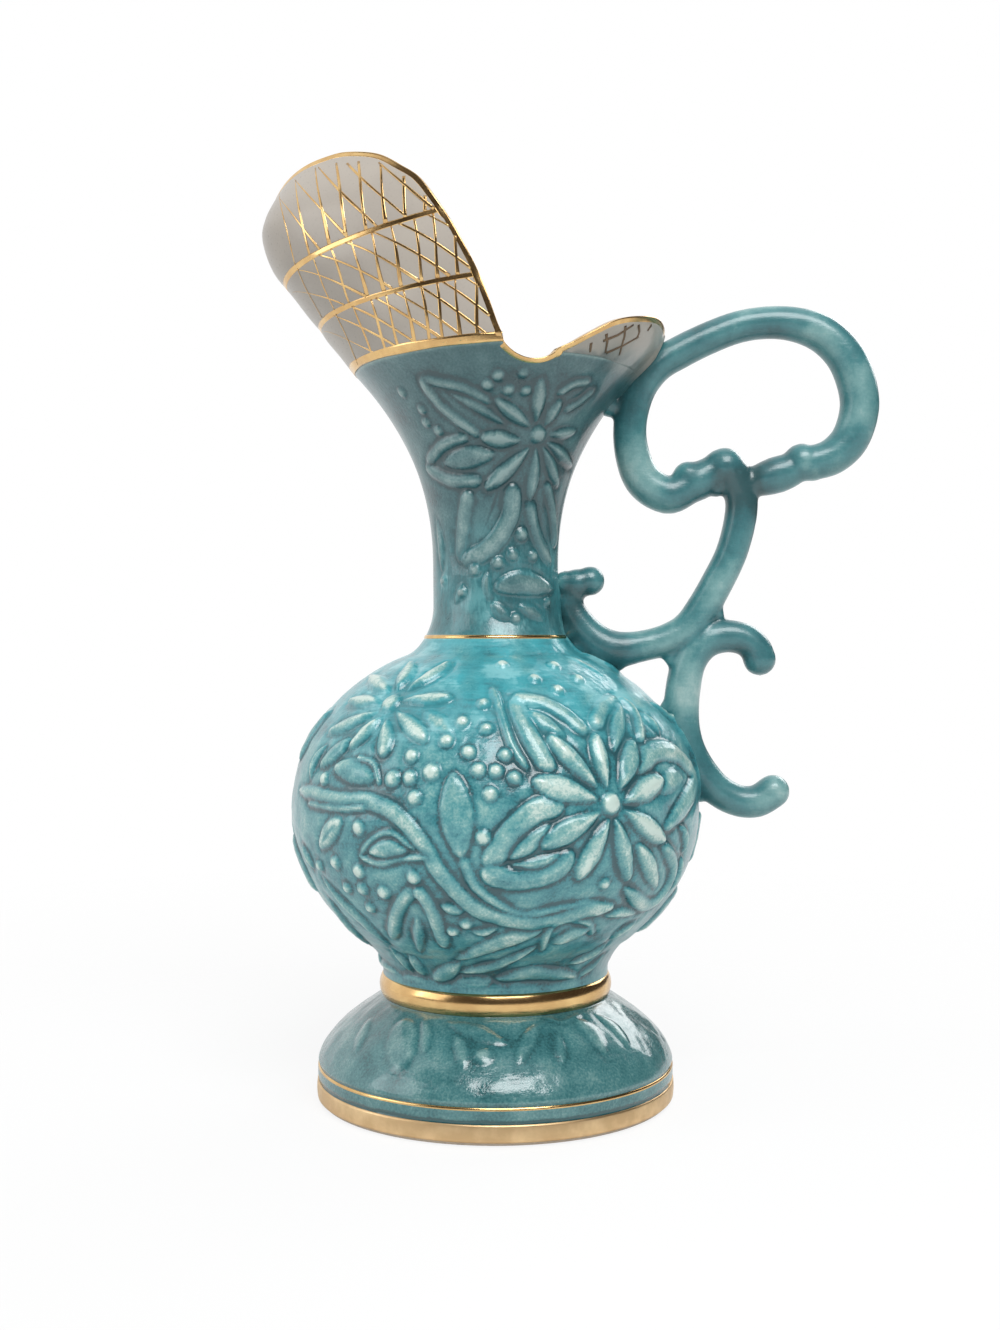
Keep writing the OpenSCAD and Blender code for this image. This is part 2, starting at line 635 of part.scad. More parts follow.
module spout() {
    function row_z(turn, share) = mix(front_seam(turn) + lute, spout_edge_z(turn), share);
    color(pale_glaze)
        sheet(
            [for (t = spout_columns) [for (s = spout_row_shares) spout_at(t, row_z(t, s), 0)]],
            [for (t = spout_columns) [for (s = spout_row_shares)
                let (z = row_z(t, s)) spout_at(t, z, -spout_wall_at(z))]]
        );
}

module back_lip() {
    turns = [for (k = [-lip_columns : lip_columns]) lip_turn * k / lip_columns];
    shares = [for (k = [0 : lip_rows]) k / lip_rows];
    function row_z(turn, share) = mix(lip_seam_z + lute, lip_edge_z(turn), share);
    color(pale_glaze)
        sheet(
            [for (t = turns) [for (s = shares) lip_at(t, row_z(t, s), 0)]],
            [for (t = turns) [for (s = shares) lip_at(t, row_z(t, s), -mix(neck_wall, rim_wall, s))]]
        );
}

// Handle pieces

module handle_upper_loop() {
    color(dark_glaze)
        difference() {
            rod(loop_route);
            neck_outside();
        }
}

module handle_inner_knuckle() {
    color(dark_glaze)
        difference() {
            knuckle(inner_knuckle_shares, loop_route[0], -run_of(loop_route, 0), scroll_head);
            rod(scroll_route, lute);
        }
}

module handle_outer_knuckle() {
    last = len(loop_route) - 1;
    color(dark_glaze)
        difference() {
            knuckle(outer_knuckle_shares, loop_route[last], run_of(loop_route, last), scroll_stem);
            rod(scroll_route, lute);
        }
}

module handle_main_scroll() {
    color(glaze)
        difference() {
            rod(scroll_route);
            neck_outside();
            belly_outside();
        }
}

module handle_lower_scroll() {
    color(glaze)
        difference() {
            rod(hook_route);
            rod(scroll_route, lute);
            belly_outside();
        }
}

// Gilding

module gilt_ring(r, z, h) {
    translate([0, 0, z])
        rotate_extrude()
            polygon([[r + lute, 0], [r + lute + gilt, 0], [r + lute + gilt, h], [r + lute, h]]);
}

module foot_rim_gilding() {
    color(gold) gilt_ring(foot_r, foot_bevel, rim_band_h);
}

module foot_line_gilding() {
    color(gold) gilt_ring(foot_r, plinth_h - line_w, line_w);
}

module waist_gilding() {
    color(gold) gilt_ring(waist_r, dome_top_z, waist_band_h);
}

module neck_line_gilding() {
    low_z = neck_z - line_w / 2;
    color(gold) gilt_ring(neck_root_r + line_w / 2, low_z, line_w);
}

// A gilt line across the spout, whose lower edge a function gives for each turn
module spout_line(line_z) {
    turns = [for (t = spout_columns) if (line_z(t) + spout_line_w < spout_edge_z(t)) t];
    function strip(out) =
        [for (t = turns) [for (k = [0, 1]) spout_at(t, line_z(t) + spout_line_w * k, out)]];
    seat = lute + tier_swell * line_seat_share;
    color(gold) sheet(strip(seat + gilt), strip(seat));
}

module spout_base_gilding() {
    spout_line(function (turn) front_seam(turn) + lute);
}

module spout_middle_gilding() {
    spout_line(function (turn) middle_line(turn) - spout_line_w / 2);
}

module spout_upper_gilding() {
    spout_line(function (turn) upper_line(turn) - spout_line_w / 2);
}

// Outer and inner edge of the mouth, once round, seen from above against the clock
function notch_pair(x, side) =
    let (z = notch_edge(x), r = neck_r_at(z), q = r - neck_wall)
    [[x, side * sqrt(r * r - x * x), z], [x, side * sqrt(q * q - x * x), z]];
function spout_pair(turn) =
    let (z = spout_edge_z(turn)) [spout_at(turn, z, 0), spout_at(turn, z, -spout_wall_at(z))];
function lip_pair(turn) =
    let (z = lip_edge_z(turn)) [lip_at(turn, z, 0), lip_at(turn, z, -rim_wall)];
notch_places = [for (s = notch_place_shares) mix(spout_start_x, lip_start_x, s)];
mouth_edge = concat(
    [for (t = spout_columns) if (t >= 0 && t < spout_turn) spout_pair(t)],
    [for (x = notch_places) notch_pair(x, -1)],
    [for (k = [-lip_columns + 1 : lip_columns - 1]) lip_pair(lip_turn * k / lip_columns)],
    [for (x = reversed(notch_places)) notch_pair(x, 1)],
    [for (t = spout_columns) if (t > -spout_turn && t < 0) spout_pair(t)]
);

module mouth_rim_gilding() {
    n = len(mouth_edge);
    color(gold)
        loft([
            for (i = [0 : n - 1])
                let (
                    out = mouth_edge[i][0],
                    inner = mouth_edge[i][1],
                    run = unit(mouth_edge[(i + 1) % n][0] - mouth_edge[(i + n - 1) % n][0]),
                    rise = unit(cross(unit(out - inner), run)),
                    low = rise * lute,
                    side = rise * (lute + gilt * rim_shoulder_share),
                    top = rise * (lute + gilt)
                )
                [out + low, out + side, (out + inner) / 2 + top, inner + side, inner + low]
        ], closed = true);
}

// Sprigs

// A place on the belly moved sideways and up along its surface, then lifted off it
function on_belly(place, side, up, lift) =
    let (
        lat0 = place[1],
        rise0 = belly_rise(lat0),
        ring = belly_r * cos(lat0),
        run = norm([belly_r * sin(lat0), rise0 * cos(lat0)]),
        turn = place[0] + side / ring * 180 / PI,
        lat = lat0 + up / run * 180 / PI,
        slope = unit([cos(lat) / belly_r, sin(lat) / belly_rise(lat)]),
        p = belly_at(lat) + slope * lift
    )
    [p[0] * sin(turn), -p[0] * cos(turn), p[1]];
function neck_height(share) = mix(neck_z, mouth_z, share);
function on_neck(place, side, up, lift) =
    let (
        z0 = neck_height(place[1]),
        slope0 = neck_r_at(z0 + line_w) - neck_r_at(z0 - line_w),
        lean = atan2(slope0, 2 * line_w),
        turn = place[0] + side / neck_r_at(z0) * 180 / PI,
        z = z0 + up * cos(lean),
        slope = atan2(neck_r_at(z + line_w) - neck_r_at(z - line_w), 2 * line_w),
        r = neck_r_at(z) + lift * cos(slope)
    )
    [r * sin(turn), -r * cos(turn), z - lift * sin(slope)];
function on_foot(place, side, up, lift) =
    let (
        run = norm([foot_r - waist_r, dome_h]),
        share = place[1] + up / run,
        slope = atan2(dome_power * pow(share, dome_power - 1) * (foot_r - waist_r), dome_h),
        p = dome_at(share) + lift * [cos(slope), sin(slope)],
        turn = place[0] + side / dome_at(place[1])[0] * 180 / PI
    )
    [p[0] * sin(turn), -p[0] * cos(turn), p[1]];

// One ring of a sprig's section, from a function of the distance across and the lift
function sprig_ring(spot, half, crown) = [
    spot(-half, lute),
    spot(-half * shoulder_share, lute + crown),
    spot(half * shoulder_share, lute + crown),
    spot(half, lute),
    spot(0, lute)
];
function blade_fullness(s) = sin(180 * pow(s, blade_taper_share));
function crown_at(crown, fullness) = crown * min(1, fullness / crown_growth_share);

// A flat-topped leaf or petal that lies on a surface, its length running along the heading
module leaf(on, place, heading, length, width, crown, start = 0) {
    function spot(along, across, lift) =
        on(
            place,
            along * cos(heading) - across * sin(heading),
            along * sin(heading) + across * cos(heading),
            lift
        );
    loft([
        for (s = blade_ring_shares)
            let (along = mix(start, length, s), full = blade_fullness(s))
            sprig_ring(
                function (across, lift) spot(along, across, lift), width / 2 * full, crown_at(crown, full)
            )
    ]);
}

// Millimetres along the belly's skin for one degree of turn and one of rise
function belly_pace(p) =
    [belly_r * cos(p[1]), norm([belly_r * sin(p[1]), belly_rise(p[1]) * cos(p[1])])] * PI / 180;

// A raised strip along a run of places on the belly, as full as a function says at each share
module belly_strip(run, width, fullness) {
    route = smooth(run, route_steps);
    n = len(route);
    loft([
        for (i = [0 : n - 1])
            let (
                p = route[i],
                step = route[min(i + 1, n - 1)] - route[max(i - 1, 0)],
                pace = belly_pace(p),
                way = unit([step[0] * pace[0], step[1] * pace[1]]),
                full = fullness(i / (n - 1))
            )
            sprig_ring(
                function (across, lift) on_belly(p, -way[1] * across, way[0] * across, lift),
                width / 2 * full, crown_at(sprig_h, full)
            )
    ]);
}

module belly_edges(runs) {
    for (r = runs)
        belly_strip(r[1], vine_w * r[0], function (s) s > 0 && s < 1 ? 1 : edge_tip_share);
}

module belly_blades(runs) {
    for (r = runs)
        belly_strip(
            r[1], petal_w * r[0],
            function (s) blade_fullness(mix(blade_ring_shares[0], 1 - blade_ring_shares[0], s))
        );
}

// A low round bead that stands on a surface
module bead(on, place, r, side = 0, up = 0) {
    function spot(out, a, lift) = on(place, side + out * cos(a), up + out * sin(a), lute + lift);
    function ring(lat) = [
        for (k = [0 : bead_sides - 1])
            spot(r * cos(lat), -360 * k / bead_sides, r * berry_rise_share * sin(lat))
    ];
    top = 2 * bead_sides;
    function low(k) = k % bead_sides;
    function high(k) = bead_sides + k % bead_sides;
    ks = [0 : bead_sides - 1];
    polyhedron(
        points = concat(ring(0), ring(bead_ring_lat), [spot(0, 0, r * berry_rise_share)]),
        faces = concat(
            [for (k = [1 : bead_sides - 2]) [0, k + 1, k]],
            [for (k = ks) each halves(low(k), low(k + 1), high(k + 1), high(k))],
            [for (k = ks) [high(k), high(k + 1), top]]
        )
    );
}

// Berries packed round a first one, six to the ring
module berries(on, clusters, r) {
    pitch = r * (2 + berry_gap_share);
    for (c = clusters) {
        bead(on, c, r);
        for (k = [1 : 1 : c[2] - 1])
            let (a = c[3] + cluster_turn * k)
            bead(on, c, r, pitch * cos(a), pitch * sin(a));
    }
}

// A flower from the heading and the share of the reach of each petal
module flower(on, place, petals, reach, width, r) {
    bead(on, place, r);
    for (p = petals)
        leaf(on, place, p[0], reach * p[1], width, sprig_h, r + reach * petal_gap_share);
}

module leaves(on, places) {
    for (p = places)
        leaf(
            on, p, p[2], neck_petal_l * p[3] / 2, neck_petal_w * p[4], sprig_h, -neck_petal_l * p[3] / 2
        );
}

module on_both_sides() {
    for (turn = motif_turns) rotate([0, 0, turn]) children();
}

module belly_blooms() {
    on = function (place, side, up, lift) on_belly(place, side, up, lift);
    color(sprig_glaze)
        on_both_sides() {
            flower(on, large_flower_place, large_flower_petal_shares, petal_l, petal_w, bead_r);
            flower(
                on, small_flower_place, small_flower_petal_shares,
                petal_l * small_flower_share, petal_w * small_flower_share, bead_r
            );
        }
}

module belly_sepals() {
    color(sprig_glaze)
        on_both_sides() {
            belly_edges(sepal_edge_shares);
            belly_blades(sepal_blade_shares);
        }
}

module belly_leaves() {
    color(sprig_glaze)
        on_both_sides() {
            belly_edges(leaf_edge_shares);
            belly_blades(leaf_blade_shares);
        }
}

module belly_berries() {
    on = function (place, side, up, lift) on_belly(place, side, up, lift);
    color(sprig_glaze) on_both_sides() for (p = berry_places) bead(on, p, berry_r);
}

module belly_vine() {
    color(sprig_glaze) on_both_sides() belly_edges(vine_run_shares);
}

module neck_blooms() {
    on = function (place, side, up, lift) on_neck(place, side, up, lift);
    petals = [for (k = [0 : neck_petal_count - 1]) [90 + 360 * k / neck_petal_count, 1]];
    color(sprig_glaze)
        on_both_sides() flower(on, neck_flower_place, petals, neck_petal_l, neck_petal_w, neck_bead_r);
}

module neck_leaves() {
    on = function (place, side, up, lift) on_neck(place, side, up, lift);
    color(sprig_glaze) on_both_sides() leaves(on, neck_leaf_places);
}

module neck_berries() {
    on = function (place, side, up, lift) on_neck(place, side, up, lift);
    color(sprig_glaze) on_both_sides() berries(on, neck_berry_clusters, neck_bead_r);
}

module foot_lappets() {
    on = function (place, side, up, lift) on_foot(place, side, up, lift);
    color(dark_glaze)
        for (k = [0 : lappet_count - 1])
            leaf(
                on, [360 * k / lappet_count, lappet_rise_share], 90,
                lappet_l / 2, lappet_w, sprig_h * lappet_crown_share, -lappet_l / 2
            );
}

foot();
belly();
neck();
spout();
back_lip();
handle_upper_loop();
handle_inner_knuckle();
handle_outer_knuckle();
handle_main_scroll();
handle_lower_scroll();
foot_rim_gilding();
foot_line_gilding();
waist_gilding();
neck_line_gilding();
spout_base_gilding();
spout_middle_gilding();
spout_upper_gilding();
mouth_rim_gilding();
belly_blooms();
belly_sepals();
belly_leaves();
belly_berries();
belly_vine();
neck_blooms();
neck_leaves();
neck_berries();
foot_lappets();
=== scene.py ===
"""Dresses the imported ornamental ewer: its glazed body, openwork handle and gilding."""

import logging
import math
from collections.abc import Callable
from dataclasses import dataclass, field
from enum import Enum
from functools import partial, partialmethod

import bmesh
import bpy
import numpy as np
from mathutils import Matrix, Vector


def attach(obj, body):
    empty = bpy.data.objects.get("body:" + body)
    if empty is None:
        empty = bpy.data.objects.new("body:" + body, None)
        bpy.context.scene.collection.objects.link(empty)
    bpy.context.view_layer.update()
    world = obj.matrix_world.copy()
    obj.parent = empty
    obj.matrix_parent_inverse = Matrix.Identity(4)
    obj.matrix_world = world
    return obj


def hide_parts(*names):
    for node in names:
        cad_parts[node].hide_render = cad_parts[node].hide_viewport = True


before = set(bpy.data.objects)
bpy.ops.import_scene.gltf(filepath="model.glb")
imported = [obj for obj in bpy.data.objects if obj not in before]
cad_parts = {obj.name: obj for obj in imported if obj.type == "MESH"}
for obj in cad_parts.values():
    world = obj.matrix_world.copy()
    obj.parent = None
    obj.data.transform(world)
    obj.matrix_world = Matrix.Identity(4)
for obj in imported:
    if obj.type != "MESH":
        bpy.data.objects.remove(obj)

LOG = logging.getLogger("ewer")
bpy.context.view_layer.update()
MM = 0.001
TONE = "glaze_tone"
PALE = "pale_share"
# Share of a fresher turquoise, which on the upper belly is painted light from above
FRESH_AND_PAINTED_TOPLIGHT = "fresh_and_painted_toplight_share"
LEVEL = np.array([1.0, 1.0, 0.0])
UPRIGHT = np.array([0.0, 0.0, 1.0])
Array = np.ndarray
Mesh = bpy.types.Mesh
Work = bmesh.types.BMesh
Pair = tuple[float, float]
Triple = tuple[float, float, float]
Pixel = Pair
Colour = Triple
Box = tuple[float, float, float, float]
Place = Callable[[Array, Array], Array]


# Curves

def mix(low: Array, high: Array, share: Array) -> Array:
    """Returns the value a share of the way from low to high."""
    return low + (high - low) * share


def ease(share: Array) -> Array:
    """Returns a share from 0 to 1 with soft ends."""
    held = np.clip(share, 0.0, 1.0)
    return held * held * (3.0 - 2.0 * held)


def ramp(values: Array, ends: Pair) -> Array:
    """Returns a soft share that runs from 0 to 1 while values run from one end to the other."""
    return ease((values - ends[0]) / (ends[1] - ends[0]))


def unit(arrows: Array) -> Array:
    """Returns arrows of length 1."""
    return arrows / np.maximum(np.linalg.norm(arrows, axis=-1, keepdims=True), 1e-9)


def reach_of(points: Array) -> Array:
    """Returns how far places lie from the body's axis."""
    return np.hypot(points[:, 0], points[:, 1])


def turn_of(points: Array) -> Array:
    """Returns the turns of places from the back, round the body's axis."""
    return np.arctan2(points[:, 1], points[:, 0])


def around(radius: Array, turn: Array, z: Array) -> Array:
    """Returns places at radii, turns from the back and heights."""
    parts = np.broadcast_arrays(radius * np.cos(turn), radius * np.sin(turn), z)
    return np.stack(parts, axis=-1)


def smooth_route(stations: Array, steps: int) -> Array:
    """Runs a smooth curve through stations.

    Args:
        stations: One row for each station.
        steps: Steps between neighbouring stations.

    Returns:
        One row for each step, from the first station to the last.
    """
    rows = np.asarray(stations, float)
    padded = np.vstack([rows[:1], rows, rows[-1:]])
    shares = np.arange(steps)[:, None] / steps
    runs = []
    for k in range(len(rows) - 1):
        a, b, c, d = padded[k:k + 4]
        bend = (2 * a - 5 * b + 4 * c - d) * shares ** 2
        twist = (3 * b - a - 3 * c + d) * shares ** 3
        runs.append(b + ((c - a) * shares + bend + twist) / 2)
    return np.vstack([*runs, rows[-1:]])


def lookup(table: tuple[Pair, ...], places: Array) -> Array:
    """Returns a smooth table's values at places along it."""
    fine = smooth_route(np.array(table), 8)
    return np.interp(places, fine[:, 0], fine[:, 1])


@dataclass(frozen=True)
class Waver:
    """A soft hand-made unevenness: its amount, the length of its largest wave and its seed."""

    amount: float
    pitch: float
    seed: int

    def at(self, points: Array) -> Array:
        """Gives the unevenness at places.

        Args:
            points: Places in millimetres.

        Returns:
            A value from about -amount to amount for each place.
        """
        waves, finer, fainter, spread = 6, 0.35, 0.3, 2.5
        dice = np.random.default_rng(self.seed)
        total = np.zeros(len(points))
        for k in range(waves):
            arrow = unit(dice.normal(size=3)) * math.tau / self.pitch * (1.0 + finer * k)
            total += np.sin(points @ arrow + dice.uniform(0, math.tau)) / (1.0 + fainter * k)
        return self.amount * (total / spread)


# Photograph

@dataclass(frozen=True)
class Outline:
    """A turned outline: outside radii at rising heights, in millimetres."""

    radii: Array
    heights: Array
    skin_depth: float = 0.5

    def radius(self, heights: Array) -> Array:
        """Returns the radius at each height."""
        return np.interp(heights, self.heights, self.radii)

    def rows(self, count: int) -> Array:
        """Returns heights that lie evenly along the outline."""
        steps = np.hypot(np.diff(self.radii), np.diff(self.heights))
        run = np.concatenate([[0.0], np.cumsum(steps)])
        return np.interp(np.linspace(0.0, run[-1], count), run, self.heights)

    def skin(self, points: Array) -> Array:
        """Tells which places lie on the outside of the wall and not behind it."""
        return reach_of(points) > self.radius(points[:, 2]) - self.skin_depth

    def outward(self, points: Array) -> Array:
        """Returns the arrows that point straight out of the wall at points on it."""
        span = 0.3
        z = points[:, 2]
        slope = (self.radius(z + span) - self.radius(z - span)) / (2 * span)
        return unit(unit(points * LEVEL) - slope[:, None] * UPRIGHT)


@dataclass(frozen=True)
class PhotoView:
    """The photograph's camera, with lengths in millimetres and places in photo pixels."""

    frame_w: int = 1000
    frame_h: int = 1330
    axis_px: float = 495.5
    ground_px: float = 1093.0
    horizon_px: float = 637.0
    mm_per_px: float = 0.26
    distance: float = 416.0
    sensor: float = 36.0
    clip: Pair = (0.02, 20.0)
    near_share: float = 0.82
    sight_steps: int = 721

    def eye(self) -> Array:
        """Returns the camera's place."""
        return np.array([0.0, -self.distance, (self.ground_px - self.horizon_px) * self.mm_per_px])

    def on_plane(self, pixel: Pixel) -> Array:
        """Returns the place that a pixel shows on the upright plane through the axis."""
        across = (pixel[0] - self.axis_px) * self.mm_per_px
        return np.array([across, 0.0, (self.ground_px - pixel[1]) * self.mm_per_px])

    def on(self, outline: Outline, pixel: Pixel) -> Array:
        """Finds the place that a pixel shows on a turned wall.

        Args:
            outline: The wall's outline.
            pixel: Place in the photograph.

        Returns:
            The nearest place on the wall, or the closest to it where the pixel misses the wall.
        """
        shares = np.linspace(self.near_share, 1.0, self.sight_steps)[:, None]
        sight = self.eye() + (self.on_plane(pixel) - self.eye()) * shares
        gap = reach_of(sight) - outline.radius(sight[:, 2])
        inside = np.flatnonzero(gap <= 0.0)
        spot = sight[inside[0] if len(inside) else int(np.argmin(gap))]
        reach = outline.radius(spot[2]) / np.hypot(spot[0], spot[1])
        return spot * np.array([reach, reach, 1.0])

    def make_camera(self) -> None:
        """Makes the scene's camera at the photograph's viewing angle."""
        data = bpy.data.cameras.new("photo_camera")
        data.sensor_width = self.sensor
        data.lens = self.sensor * self.distance / self.mm_per_px / self.frame_h
        data.clip_start, data.clip_end = self.clip
        middle = self.on_plane((self.frame_w / 2, self.frame_h / 2))
        stand = self.eye() + np.array([middle[0], 0.0, 0.0])
        camera = new_object("photo_camera", data)
        camera.location = Vector(stand * MM)
        camera.rotation_euler = Vector(middle - stand).to_track_quat("-Z", "Y").to_euler()
        bpy.context.scene.camera = camera


VIEW = PhotoView()


# Shader maths

class Field:
    """A socket whose value joins in ordinary sums."""

    def __init__(self, recipe: "Recipe", socket: bpy.types.NodeSocket) -> None:
        """Keeps the socket and the recipe that it belongs to."""
        self.recipe = recipe
        self.socket = socket

    def sum_with(self, operation: str, other: object) -> "Field":
        """Adds one node of sums, with this field as its first value and another as its second."""
        return self.recipe.node("Math", {"operation": operation}, {0: self, 1: other})

    def __rsub__(self, other: object) -> "Field":
        """Is taken away from a number."""
        return self.recipe.node("Math", {"operation": "SUBTRACT"}, {0: other, 1: self})

    __add__ = __radd__ = partialmethod(sum_with, "ADD")
    __sub__ = partialmethod(sum_with, "SUBTRACT")
    __mul__ = partialmethod(sum_with, "MULTIPLY")
    __truediv__ = partialmethod(sum_with, "DIVIDE")
    at_most = partialmethod(sum_with, "MINIMUM")
    at_least = partialmethod(sum_with, "MAXIMUM")


class Recipe:
    """A node tree that is written node by node."""

    noise_roughness: float = 0.55

    def __init__(self, tree: bpy.types.NodeTree) -> None:
        """Starts on an emptied tree."""
        tree.nodes.clear()
        self.tree = tree

    def node(self, kind: str, settings: dict[str, object], inputs: dict[object, object],
             result: object = 0) -> Field:
        """Makes a node.

        Args:
            kind: The node's type, without the words that all types start with.
            settings: Properties, or a ramp's stops under the name stops, which are set first.
            inputs: Values or fields for sockets, by name or number.
            result: Name or number of the output that is returned.

        Returns:
            The chosen output.
        """
        made = self.tree.nodes.new("ShaderNode" + kind)
        for name, value in settings.items():
            if name == "stops":
                self.set_stops(made.color_ramp, value)
            else:
                setattr(made, name, value)
        for name, value in inputs.items():
            if isinstance(value, Field):
                self.tree.links.new(value.socket, made.inputs[name])
            else:
                made.inputs[name].default_value = value
        return Field(self, made.outputs[result]) if made.outputs else Field(self, made.inputs[0])

    @staticmethod
    def set_stops(ramp: bpy.types.ColorRamp, stops: list[tuple[float, Colour]]) -> None:
        """Sets a colour ramp's stops."""
        while len(ramp.elements) < len(stops):
            ramp.elements.new(1.0)
        for element, (place, colour) in zip(ramp.elements, stops):
            element.position = place
            element.color = (*colour, 1.0)

    def ray(self, kind: str) -> Field:
        """Returns 1 for rays of a kind and 0 for others."""
        return self.node("LightPath", {}, {}, f"Is {kind} Ray")

    def attribute(self, name: str) -> Field:
        """Returns a value that is kept on the piece's own vertices."""
        settings = {"attribute_type": "GEOMETRY", "attribute_name": name}
        return self.node("Attribute", settings, {}, "Fac")

    def noise(self, scale: float, detail: float = 3.0, stretch: Triple = (1.0, 1.0, 1.0)) -> Field:
        """Makes a cloudy pattern in the piece's own space.

        Args:
            scale: Waves to a metre.
            detail: Number of finer layers.
            stretch: Scale along each axis.

        Returns:
            A value round 0.5.
        """
        spot = self.node("TexCoord", {}, {}, "Object")
        spot = self.node("Mapping", {}, {"Vector": spot, "Scale": stretch})
        inputs = {"Vector": spot, "Scale": scale, "Detail": detail, "Roughness": self.noise_roughness}
        return self.node("TexNoise", {}, inputs, "Fac")

    def mix_colours(self, share: object, low: object, high: object) -> Field:
        """Mixes two colours by a share, through the mixing node's sockets for colours."""
        factor, first, second, result = 0, 6, 7, 2
        inputs = {factor: share, first: low, second: high}
        return self.node("Mix", {"data_type": "RGBA"}, inputs, result)

    def bump(self, height: Field, strength: float, distance: float) -> Field:
        """Turns a height into a bent normal."""
        inputs = {"Strength": strength, "Distance": distance, "Height": height}
        return self.node("Bump", {}, inputs)

    def finish(self, shader: Field) -> None:
        """Links a shader to the material's output."""
        self.node("OutputMaterial", {}, {"Surface": shader})


def new_material(name: str) -> tuple[bpy.types.Material, Recipe]:
    """Starts a material that is made of nodes."""
    material = bpy.data.materials.new(name)
    material.use_nodes = True
    return material, Recipe(material.node_tree)


# Finishes

@dataclass(frozen=True)
class Finish:
    """A surface that dresses pieces."""

    name: str

    def material(self) -> bpy.types.Material:
        """Builds the finish's material."""
        material, recipe = new_material(self.name)
        recipe.finish(recipe.node("BsdfPrincipled", {}, self.surface(recipe)))
        return material

    def surface(self, recipe: Recipe) -> dict[str, object]:
        """Returns the surface's values and fields by socket, which each kind of finish gives."""
        raise NotImplementedError


@dataclass(frozen=True)
class PooledGlaze(Finish):
    """A gloss glaze that pools dark in hollows and breaks pale on crests.

    Its five tones run from pooled to bare. Over them lie patches of a fresher turquoise, which on
    the upper belly is painted light from above, and pale painted glints; pale is the glaze that
    covers the inside and the back lip.
    """

    pooled: Colour
    deep: Colour
    ground: Colour
    crest: Colour
    bare: Colour
    pale: Colour = (0.45, 0.41, 0.35)
    # Fresher turquoise, which on the upper belly is painted light from above
    fresh_and_painted_toplight: Colour = (0.06, 0.41, 0.47)
    # Painted highlight: the colour of the pale glints laid over the glaze
    thin_gold_and_painted_glint: Colour = (0.3, 0.64, 0.67)
    tone_stops: tuple[float, ...] = (0.06, 0.3, 0.54, 0.78, 1.0)
    cloud_pitch: float = 120.0
    streak_pitch: float = 1500.0
    grain_pitch: float = 1700.0
    stretch: Triple = (0.12, 0.12, 1.0)
    cloudy: float = 1.1
    streaky: float = 0.8
    still_streaky: float = 0.3
    grainy: float = 0.6
    # How far the painted glints cover at most
    painted_glint_most: float = 0.8
    rough: float = 0.2
    coat: float = 0.4
    coat_rough: float = 0.1
    bend: float = 1.6
    bump: float = 0.3
    bump_depth: float = 0.0006

    def surface(self, recipe: Recipe) -> dict[str, object]:
        """Returns the glaze's values and fields by socket."""
        cloud = recipe.noise(self.cloud_pitch, 5.0)
        streak = recipe.noise(self.streak_pitch, 2.0, self.stretch)
        grain = recipe.noise(self.grain_pitch, 2.0)
        fresh_and_painted_toplight_zone = recipe.attribute(FRESH_AND_PAINTED_TOPLIGHT)
        tone = recipe.attribute(TONE) + (cloud - 0.5) * self.cloudy + (grain - 0.5) * self.grainy
        running = fresh_and_painted_toplight_zone * (1.0 - self.still_streaky) + self.still_streaky
        tone = tone + (streak - 0.5) * running * self.streaky
        tones = (self.pooled, self.deep, self.ground, self.crest, self.bare)
        stops = list(zip(self.tone_stops, tones))
        colour = recipe.node("ValToRGB", {"stops": stops}, {0: tone}, "Color")
        # Fresher turquoise in patches, which on the upper belly is painted light from above
        fresh_and_painted_toplight = fresh_and_painted_toplight_zone * (cloud * 1.4 + streak * 0.7 - 0.2).at_least(0.0).at_most(1.0)
        # Painted highlights: pale glints in patches over the same zone
        patches = (cloud * 2.0 + streak * 0.5 - 1.3) * 4.0
        thin_gold_and_painted_glint = fresh_and_painted_toplight_zone * patches.at_least(0.0).at_most(self.painted_glint_most)
        layers = ((fresh_and_painted_toplight, self.fresh_and_painted_toplight), (thin_gold_and_painted_glint, self.thin_gold_and_painted_glint), (recipe.attribute(PALE), self.pale))
        for share, layer in layers:
            colour = recipe.mix_colours(share, colour, (*layer, 1.0))
        uneven = cloud * 2.0 + streak * 0.4 + grain * 0.3
        return {
            "Base Color": colour, "Roughness": self.rough + (cloud * 0.12 + grain * 0.1),
            "Normal": recipe.bump(uneven, self.bump, self.bump_depth), "IOR": self.bend,
            "Coat Weight": self.coat, "Coat Roughness": self.coat_rough,
        }


@dataclass(frozen=True)
class PaleGlaze(Finish):
    """The warm pale glaze of the spout."""

    name: str = "pale_glaze"
    cool: Colour = (0.4, 0.362, 0.32)
    warm: Colour = (0.49, 0.445, 0.385)
    tone_stops: Pair = (0.2, 0.8)
    cloud_pitch: float = 38.0
    grain_pitch: float = 1700.0
    rough: float = 0.24
    shine: float = 0.4
    bend: float = 1.5
    bump: float = 0.1
    bump_depth: float = 0.0006

    def surface(self, recipe: Recipe) -> dict[str, object]:
        """Returns the glaze's values and fields by socket."""
        cloud = recipe.noise(self.cloud_pitch, 3.0)
        grain = recipe.noise(self.grain_pitch, 2.0)
        share = cloud * 1.2 - 0.1 + (grain - 0.5) * 0.14
        stops = list(zip(self.tone_stops, (self.cool, self.warm)))
        colour = recipe.node("ValToRGB", {"stops": stops}, {0: share}, "Color")
        normal = recipe.bump(cloud * 0.7 + grain * 0.08, self.bump, self.bump_depth)
        return {
            "Base Color": colour, "Roughness": self.rough + grain * 0.1, "Normal": normal,
            "IOR": self.bend, "Specular IOR Level": self.shine,
        }


